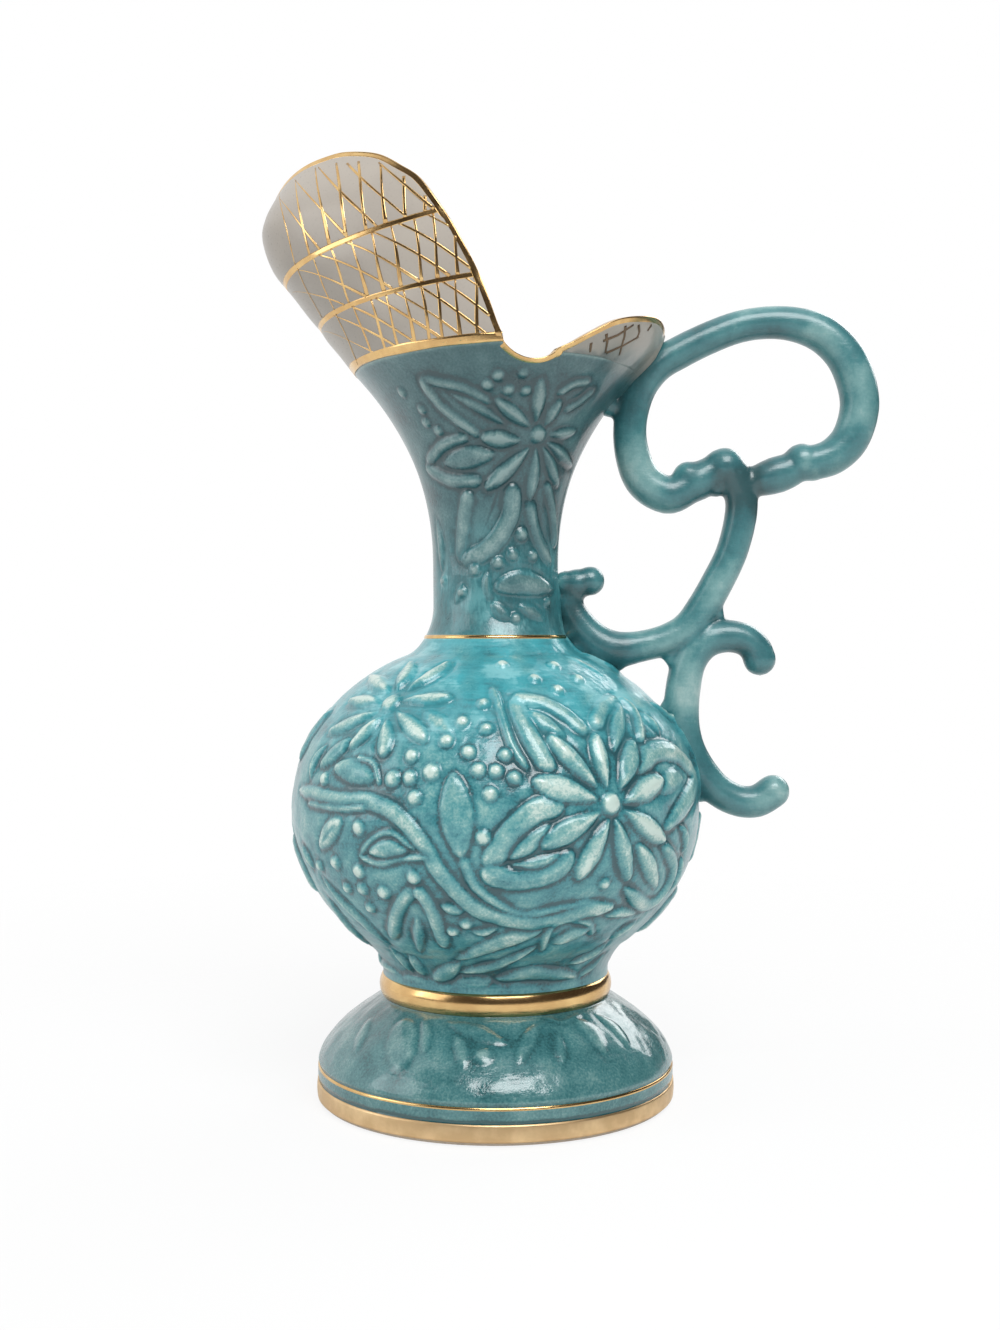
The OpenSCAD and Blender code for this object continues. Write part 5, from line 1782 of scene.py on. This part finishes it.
    def pen_stroke(self, work: Work, dice: np.random.Generator, side: float, run: Pair,
                   tier: tuple[Array, Array, Array], heavy: float) -> None:
        """Draws one stroke from a tier's lower edge to its upper edge.

        Args:
            work: The bmesh that gets the stroke.
            dice: Gives the hand's unevenness.
            side: Side of the spout, -1 or 1.
            run: About where it starts on the lower edge, and how far it leans back as it rises.
            tier: Turns along the tier, and the tier's places across and heights, by row.
            heavy: How heavy the stroke starts, as a share of the pen's width.
        """
        fine, x, z = tier
        shares = np.linspace(0.0, 1.0, len(x))
        start = run[0] + dice.uniform(-self.pen_shake, self.pen_shake)
        bow = np.sin(shares * self.bow_rate + dice.uniform(0, self.wave_start))
        across = start + run[1] * shares + self.pen_bow * bow
        turns = np.array([np.interp(spot, row, fine) for spot, row in zip(across, x)])
        heights = np.array([np.interp(turn, fine, row) for turn, row in zip(turns, z)])
        below = self.mouth.spout_edge_z(turns) - dice.uniform(*self.pen_stops)
        picked = np.flatnonzero((turns > fine[1]) & (turns < fine[-2]) & (heights < below))
        if len(picked) < self.least_points:
            return
        keep = np.unique(np.rint(np.linspace(picked[0], picked[-1], self.pen_points)).astype(int))
        line, out = self.on_spout(side * turns[keep], heights[keep])
        least, shown = self.pen_front_shares
        front = mix(least, 1.0, ramp(turns[keep], self.pen_front))
        rate = dice.uniform(*self.swing_rates)
        swing = 1.0 + self.pen_swing * np.sin(shares[keep] * rate + dice.uniform(0, self.wave_start))
        if front.max() > shown:
            width = self.pen_w * mix(heavy, self.pen_end, shares[keep])
            self.ribbon(work, line, out, width * swing * front)

    def build_lip_strokes(self, shop: Workshop) -> None:
        """Builds the few fine gold strokes on the back lip, alike on both sides, with a painted dark
        reflection.
        """
        mouth = self.mouth
        outline = mouth.lip_outline()
        work = bmesh.new()
        shares = np.linspace(0.0, 1.0, 13)
        for run in self.lip_strokes:
            knots = np.linspace(0.0, 1.0, len(run))
            across, down = (np.interp(shares, knots, values) for values in zip(*run))
            line = np.array([VIEW.on(outline, pixel) for pixel in zip(across, down)])
            below = mouth.lip_edge_z(turn_of(line)) - self.rim_gold_drop
            line = line[line[:, 2] < below]
            widths = self.pen_w * np.linspace(self.lip_heavy, self.pen_end, len(line))
            for flip in (1.0, -1.0):
                spots = line * np.array([1.0, flip, 1.0])
                self.ribbon(work, spots, outline.outward(spots), widths)
        shop.put(self.close_ribbons(work, "lip_strokes"), (PEN_GOLD_PAINTED_REFLECTION,), ())


# Rings of gilding

@dataclass(frozen=True)
class GiltRing:
    """A gilt band round the body, as a rounded section that is spun."""

    node: str
    radius: float
    low_z: float
    height: float
    crown: float
    slope: float = 0.0
    finish: GoldLustre = BRIGHT_GOLD
    rise: float = 0.08
    depth: float = 0.3
    rows: int = 9
    inner_step: int = 4
    steps: int = 160

    def build(self, shop: Workshop) -> None:
        """Builds the ring.

        Args:
            shop: Finishes and places the piece.
        """
        work = bmesh.new()
        shares = np.linspace(0.0, 1.0, self.rows)
        lift = self.crown * (1.0 - (2.0 * shares - 1.0) ** 2) + self.rise
        radii = self.radius + lift - self.slope * shares
        outside = np.column_stack([radii, self.low_z + self.height * shares])
        inside = outside[::-self.inner_step] - np.array([lift.max() + self.depth, 0.0])
        verts = [work.verts.new((r, 0.0, z)) for r, z in np.vstack([outside, inside])]
        edges = [work.edges.new((a, b)) for a, b in zip(verts, verts[1:] + verts[:1])]
        bmesh.ops.spin(
            work, geom=[*verts, *edges], cent=(0, 0, 0), axis=(0, 0, 1), dvec=(0, 0, 0),
            angle=2.0 * math.pi, steps=self.steps, use_merge=True, use_duplicate=False,
        )
        mesh = solid_mesh(work, self.node.replace("gilding", "gold"))
        shop.put(mesh, (self.finish,), (self.node,))


# Handle

@dataclass
class Handle:
    """The openwork handle: an upper loop, a main scroll, a lower scroll and two knuckles.

    A rod's box gives its left, foot, width and height, and its shares give places in that box and
    the rod's thickness there. A knuckle's swells give place, length and height along it. The lumps
    of slip that fill knuckles and corners are given by photo pixel and radius.
    """

    rod_r: float = 4.4
    root_depth: float = 1.2
    fillet_reach: float = 3.0
    fillet_lift: float = 1.3
    fillet_x: float = 10.0
    fillet_half_w: float = 12.0
    stem_station: int = 9
    sides: int = 20
    voxel: float = 0.62
    melt_rounds: int = 10
    calm_rounds: int = 10
    tone: float = 0.44
    tone_waver: Waver = Waver(0.34, 40.0, 194)
    pool: float = 1.3
    loop_box: Box = (34.8, 155.4, 59.6, 44.6)
    scroll_box: Box = (19.4, 115.4, 44.4, 47.0)
    hook_box: Box = (48.4, 75.8, 23.8, 43.0)
    inner_thick_share: float = 1.0
    inner_swells: tuple[Triple, ...] = ((0.4, 0.25, 0.14),)
    outer_thick_share: float = 0.98
    outer_swells: tuple[Triple, ...] = (
        (0.1, 0.07, 0.1), (0.24, 0.06, -0.17), (0.5, 0.16, 0.12), (0.8, 0.07, -0.16),
    )
    loop_shares: tuple[Triple, ...] = (
        (0.24, 0.035, 1.06), (0.16, 0, 1.12), (0.05, 0.1, 1.1), (0, 0.34, 1), (0.03, 0.58, 1),
        (0.11, 0.74, 1), (0.22, 0.83, 0.98), (0.36, 0.92, 0.96), (0.49, 0.98, 0.95), (0.63, 1, 0.97),
        (0.76, 0.975, 1.05), (0.87, 0.9, 1.12), (0.955, 0.76, 1.15), (1, 0.54, 1.16), (0.965, 0.34, 1.14),
        (0.89, 0.23, 1.1), (0.81, 0.19, 1.04),
    )
    scroll_shares: tuple[Triple, ...] = (
        (0.88, 1, 1.12), (0.96, 0.95, 1.04), (1, 0.83, 0.98), (0.99, 0.7, 0.96), (0.94, 0.525, 0.95),
        (0.855, 0.36, 0.97), (0.78, 0.235, 0.98), (0.69, 0.12, 0.97), (0.57, 0.055, 0.94),
        (0.41, 0.015, 0.94), (0.245, 0, 1.12), (0.12, 0.07, 1), (0.03, 0.18, 0.86), (0, 0.265, 0.78),
        (0.04, 0.34, 0.72), (0.12, 0.375, 0.7),
    )
    hook_shares: tuple[Triple, ...] = (
        (0.85, 0.86, 0.98), (0.8, 0.93, 0.94), (0.68, 0.98, 0.95), (0.5, 1, 0.98), (0.31, 0.98, 1),
        (0.17, 0.92, 1), (0.07, 0.825, 1.02), (0.02, 0.7, 1.05), (0, 0.575, 1.05), (0.01, 0.44, 1.05),
        (0.08, 0.31, 1), (0.21, 0.18, 1), (0.39, 0.07, 0.97), (0.61, 0.005, 0.95), (0.82, 0, 0.97),
        (1, 0.06, 1),
    )
    lumps: tuple[tuple[Pixel, float], ...] = (
        ((688, 478), 4.3), ((724, 468), 5.2), ((716, 486), 3.0), ((801, 463), 5.0), ((603, 397), 4.0),
        ((609, 405), 3.4), ((565, 583), 3.2), ((577, 584), 4.0), ((590, 581), 3.9), ((568, 602), 3.4),
        ((572, 630), 3.2), ((582, 646), 3.0), ((617, 663), 2.4), ((672, 658), 2.2), ((669, 709), 2.6),
        ((680, 732), 3.2), ((684, 760), 3.4), ((716, 614), 2.2), ((699, 796), 1.9),
    )

    def route(self, box: Box, shares: tuple[Triple, ...]) -> Array:
        """Returns a rod's stations as rows of place and radius."""
        table = np.array(shares)
        x, z = box[0] + box[2] * table[:, 0], box[1] + box[3] * table[:, 1]
        rows = np.column_stack([x, np.zeros(len(x)), z, self.rod_r * table[:, 2]])
        return smooth_route(rows, 6)

    def routes(self) -> dict[str, Array]:
        """Returns the stations of all rods."""
        loop = self.route(self.loop_box, self.loop_shares)
        scroll = self.route(self.scroll_box, self.scroll_shares)
        hook = self.route(self.hook_box, self.hook_shares)
        inner = smooth_route(np.array([loop[0], scroll[0]]), 12)
        stem = scroll[self.stem_station]
        outer = smooth_route(np.array([loop[-1], mix(loop[-1], stem, 0.5), stem]), 10)
        inner[:, 3] = self.rod_r * self.swollen(len(inner), self.inner_thick_share, self.inner_swells)
        outer[:, 3] = self.rod_r * self.swollen(len(outer), self.outer_thick_share, self.outer_swells)
        return {"loop": loop, "scroll": scroll, "hook": hook, "inner": inner, "outer": outer}

    @staticmethod
    def swollen(count: int, share: float, swells: tuple[Triple, ...]) -> Array:
        """Returns a knuckle's thickness along it, as shares of the rod's."""
        along = np.linspace(0.0, 1.0, count)
        bulges = (np.exp(-((along - place) / length) ** 2) * height for place, length, height in swells)
        return share + sum(bulges)

    def fillet(self, points: Array) -> Array:
        """Returns how far the body's wall swells towards the rods that are luted to it."""
        beside = np.abs(points[:, 1]) < self.fillet_half_w
        near = np.flatnonzero(beside & (points[:, 0] > self.fillet_x))
        gap = np.full(len(near), 1e9)
        routes = self.routes()
        for name in ("loop", "scroll", "hook"):
            for station in routes[name]:
                there = np.linalg.norm(points[near] - station[:3], axis=1) - station[3]
                gap = np.minimum(gap, there)
        lift = np.zeros(len(points))
        lift[near] = self.fillet_lift * np.clip(1.0 - gap / self.fillet_reach, 0.0, 1.0) ** 2
        return lift

    def rod(self, work: Work, route: Array) -> None:
        """Adds one rod with round ends.

        Args:
            work: The bmesh that gets the rod.
            route: Rows of place and radius.
        """
        count = len(route)
        run = unit(np.gradient(route[:, :3], axis=0))
        side = np.column_stack([-run[:, 2], np.zeros(count), run[:, 0]])
        made = bmesh.ops.create_grid(work, x_segments=count - 1, y_segments=self.sides, size=1.0)["verts"]
        for vert in made:
            k = round((vert.co.x + 1.0) / 2.0 * (count - 1))
            a = math.pi * vert.co.y
            level = Vector((0.0, 1.0, 0.0)) * math.sin(a)
            vert.co = Vector(route[k, :3]) + (Vector(side[k]) * math.cos(a) + level) * route[k, 3]
        for end in (0, -1):
            ball = Matrix.Translation(Vector(route[end, :3]))
            bmesh.ops.create_icosphere(work, subdivisions=3, radius=route[end, 3], matrix=ball)

    def hold_out(self, points: Array, wall: Outline) -> Array:
        """Keeps the handle's roots within the wall that they are luted to.

        Args:
            points: Places on the handle.
            wall: The wall's outside.

        Returns:
            The places, with those behind the wall moved straight out into it.
        """
        reach = reach_of(points)
        least = np.interp(points[:, 2], wall.heights, wall.radii, left=0.0, right=0.0) - self.root_depth
        scale = np.maximum(least, reach) / np.maximum(reach, 0.001)
        return points * np.column_stack([scale, scale, np.ones(len(points))])

    def build(self, shop: Workshop, walls: tuple[Outline, ...]) -> None:
        """Builds the handle as one luted and glazed piece.

        Args:
            shop: Finishes and places the piece.
            walls: The outside of the walls that the handle is luted to.
        """
        work = bmesh.new()
        for route in self.routes().values():
            self.rod(work, route)
        for pixel, radius in self.lumps:
            ball = Matrix.Translation(Vector(VIEW.on_plane(pixel)))
            bmesh.ops.create_icosphere(work, subdivisions=3, radius=radius, matrix=ball)
        bmesh.ops.remove_doubles(work, verts=work.verts, dist=0.001)
        mesh = self.lute(solid_mesh(work, "handle_rods"))
        points = read_points(mesh)
        hollow = hollowness(mesh, self.calm_rounds)
        hollow -= np.median(hollow)
        tone = self.tone + self.tone_waver.at(points) - self.pool * hollow
        write_value(mesh, TONE, np.clip(tone, 0.0, 1.0))
        for wall in walls:
            points = self.hold_out(points, wall)
        write_points(mesh, points)
        shop.put(mesh, (HANDLE_GLAZE,), (
            "handle_upper_loop", "handle_inner_knuckle", "handle_outer_knuckle",
            "handle_main_scroll", "handle_lower_scroll",
        ))

    def lute(self, rough: Mesh) -> Mesh:
        """Melts rods into one skin with soft fillets.

        Args:
            rough: Rods that cross each other, in millimetres.

        Returns:
            The melted mesh, in millimetres.
        """
        carrier = new_object("handle_rods", rough)
        remesh = carrier.modifiers.new("melt", "REMESH")
        remesh.mode = "VOXEL"
        remesh.voxel_size = self.voxel
        calm = carrier.modifiers.new("calm", "SMOOTH")
        calm.factor = 0.5
        calm.iterations = self.melt_rounds
        bpy.context.view_layer.update()
        graph = bpy.context.evaluated_depsgraph_get()
        mesh = bpy.data.meshes.new_from_object(carrier.evaluated_get(graph))
        mesh.name = "scroll_handle"
        bpy.data.objects.remove(carrier)
        for face in mesh.polygons:
            face.use_smooth = True
        return mesh


# Studio

@dataclass(frozen=True)
class Lamp:
    """A soft lamp: where it hangs, the size of its face and its power, in metres and watts."""

    name: str
    place: Triple
    size: Pair
    power: float
    target: Triple = (0.0, 0.0, 0.12)

    def build(self) -> None:
        """Hangs the lamp."""
        data = bpy.data.lights.new(self.name, "AREA")
        data.shape = "RECTANGLE"
        data.size, data.size_y = self.size
        data.energy = self.power
        lamp = new_object(self.name, data)
        lamp.location = self.place
        sight = Vector(self.target) - Vector(self.place)
        lamp.rotation_euler = sight.to_track_quat("-Z", "Y").to_euler()
        lamp.visible_camera = False


@dataclass
class Studio:
    """A plain pale floor, a white surround, a dark side for the gloss and soft lamps, in metres."""

    floor_r: float = 0.75
    floor_drop: float = 0.0004
    floor_fade: Pair = (0.08, 0.34)
    floor_grey: Colour = (0.9, 0.9, 0.9)
    floor_glow: float = 0.85
    ambient: float = 0.42
    room_r: float = 2.6
    room_dark: Colour = (0.06, 0.05, 0.045)
    bright_z: float = 0.1
    bright_y: float = -0.5
    bright_x: float = 1.0
    lamps: tuple[Lamp, ...] = (
        Lamp("window", (0.25, -0.96, 1.22), (0.95, 0.75), 17.0),
        Lamp("fill", (-1.3, -0.5, 0.6), (0.9, 0.9), 5.0),
        Lamp("back", (1.0, 1.25, 0.95), (0.9, 0.7), 8.0),
    )

    def build(self) -> None:
        """Builds the floor, the world and the lamps."""
        self.build_world()
        self.build_floor()
        self.build_dark_side()
        for lamp in self.lamps:
            lamp.build()

    def build_world(self) -> None:
        """Builds a surround that is white to the eye and softer as a light."""
        world = bpy.data.worlds.new("white_surround")
        world.use_nodes = True
        bpy.context.scene.world = world
        recipe = Recipe(world.node_tree)
        seen = recipe.ray("Camera") + recipe.ray("Glossy") + recipe.ray("Transmission")
        seen = seen.at_most(1.0)
        strength = self.ambient + seen * (1.0 - self.ambient)
        inputs = {"Color": (1.0, 1.0, 1.0, 1.0), "Strength": strength}
        sky = recipe.node("Background", {}, inputs)
        recipe.node("OutputWorld", {}, {"Surface": sky})

    def build_floor(self) -> None:
        """Builds a pale floor that fades into the white surround."""
        work = bmesh.new()
        bmesh.ops.create_circle(work, cap_ends=True, segments=96, radius=self.floor_r)
        mesh = save_mesh(work, bpy.data.meshes.new("floor"))
        material, recipe = new_material("pale_floor")
        spot = recipe.node("TexCoord", {}, {}, "Object")
        reach = recipe.node("VectorMath", {"operation": "LENGTH"}, {0: spot}, "Value")
        fade = ((reach - self.floor_fade[0]) / self.floor_fade[1]).at_least(0.0).at_most(1.0)
        seen = recipe.ray("Camera")
        matt = recipe.node("BsdfDiffuse", {}, {"Color": (*self.floor_grey, 1.0)})
        glow = recipe.node("Emission", {}, {"Color": (1.0, 1.0, 1.0, 1.0), "Strength": 1.0})
        lit = recipe.node("MixShader", {}, {0: seen * self.floor_glow, 1: matt, 2: glow})
        clear = recipe.node("BsdfTransparent", {}, {})
        recipe.finish(recipe.node("MixShader", {}, {0: fade, 1: lit, 2: clear}))
        mesh.materials.append(material)
        floor = new_object("floor", mesh)
        floor.location.z = -self.floor_drop

    def build_dark_side(self) -> None:
        """Builds the room's dark side behind the camera and to its right, which only gloss shows."""
        work = bmesh.new()
        bmesh.ops.create_uvsphere(work, u_segments=48, v_segments=24, radius=self.room_r)
        gone = [face for face in work.faces if self.is_bright(face.calc_center_median())]
        bmesh.ops.delete(work, geom=gone, context="FACES")
        mesh = save_mesh(work, bpy.data.meshes.new("dark_side"))
        material, recipe = new_material("dark_room")
        grey = {"Color": (*self.room_dark, 1.0), "Strength": 1.0}
        recipe.finish(recipe.node("Emission", {}, grey))
        mesh.materials.append(material)
        side = new_object("dark_side", mesh)
        side.visible_camera = False
        side.visible_diffuse = False
        side.visible_shadow = False

    def is_bright(self, spot: Vector) -> bool:
        """Tells whether a place on the room's wall is bright: low down, behind or to the left."""
        return spot.z < self.bright_z or (spot.y > self.bright_y and spot.x < self.bright_x)


def main() -> None:
    """Builds the ewer piece by piece, then the studio round it."""
    logging.basicConfig(level=logging.INFO, format="%(message)s")
    bpy.context.scene.view_settings.view_transform = "Standard"
    VIEW.make_camera()
    shop = Workshop()
    handle, mouth, foot, belly = Handle(), Mouth(), Foot(), Belly()
    foot.build(shop)
    belly.build(shop, handle)
    mouth.neck.build(shop, mouth, handle)
    MouthPieces(mouth).build(shop, handle)
    handle.build(shop, (belly.outline(), mouth.lip_outline()))
    rings = (
        GiltRing("foot_rim_gilding", foot.foot_r, foot.bevel, height=4.2, crown=0.18, finish=WORN_GOLD),
        GiltRing("foot_line_gilding", radius=45.8, low_z=8.1, height=0.9, crown=0.2, slope=0.1),
        GiltRing("waist_gilding", foot.waist_r, foot.dome_top_z, height=5.6, crown=0.85),
        GiltRing("neck_line_gilding", radius=18.4, low_z=118.1, height=1.0, crown=0.2, slope=0.3),
    )
    for ring in rings:
        ring.build(shop)
    Studio().build()


if __name__ == "__main__":
    main()
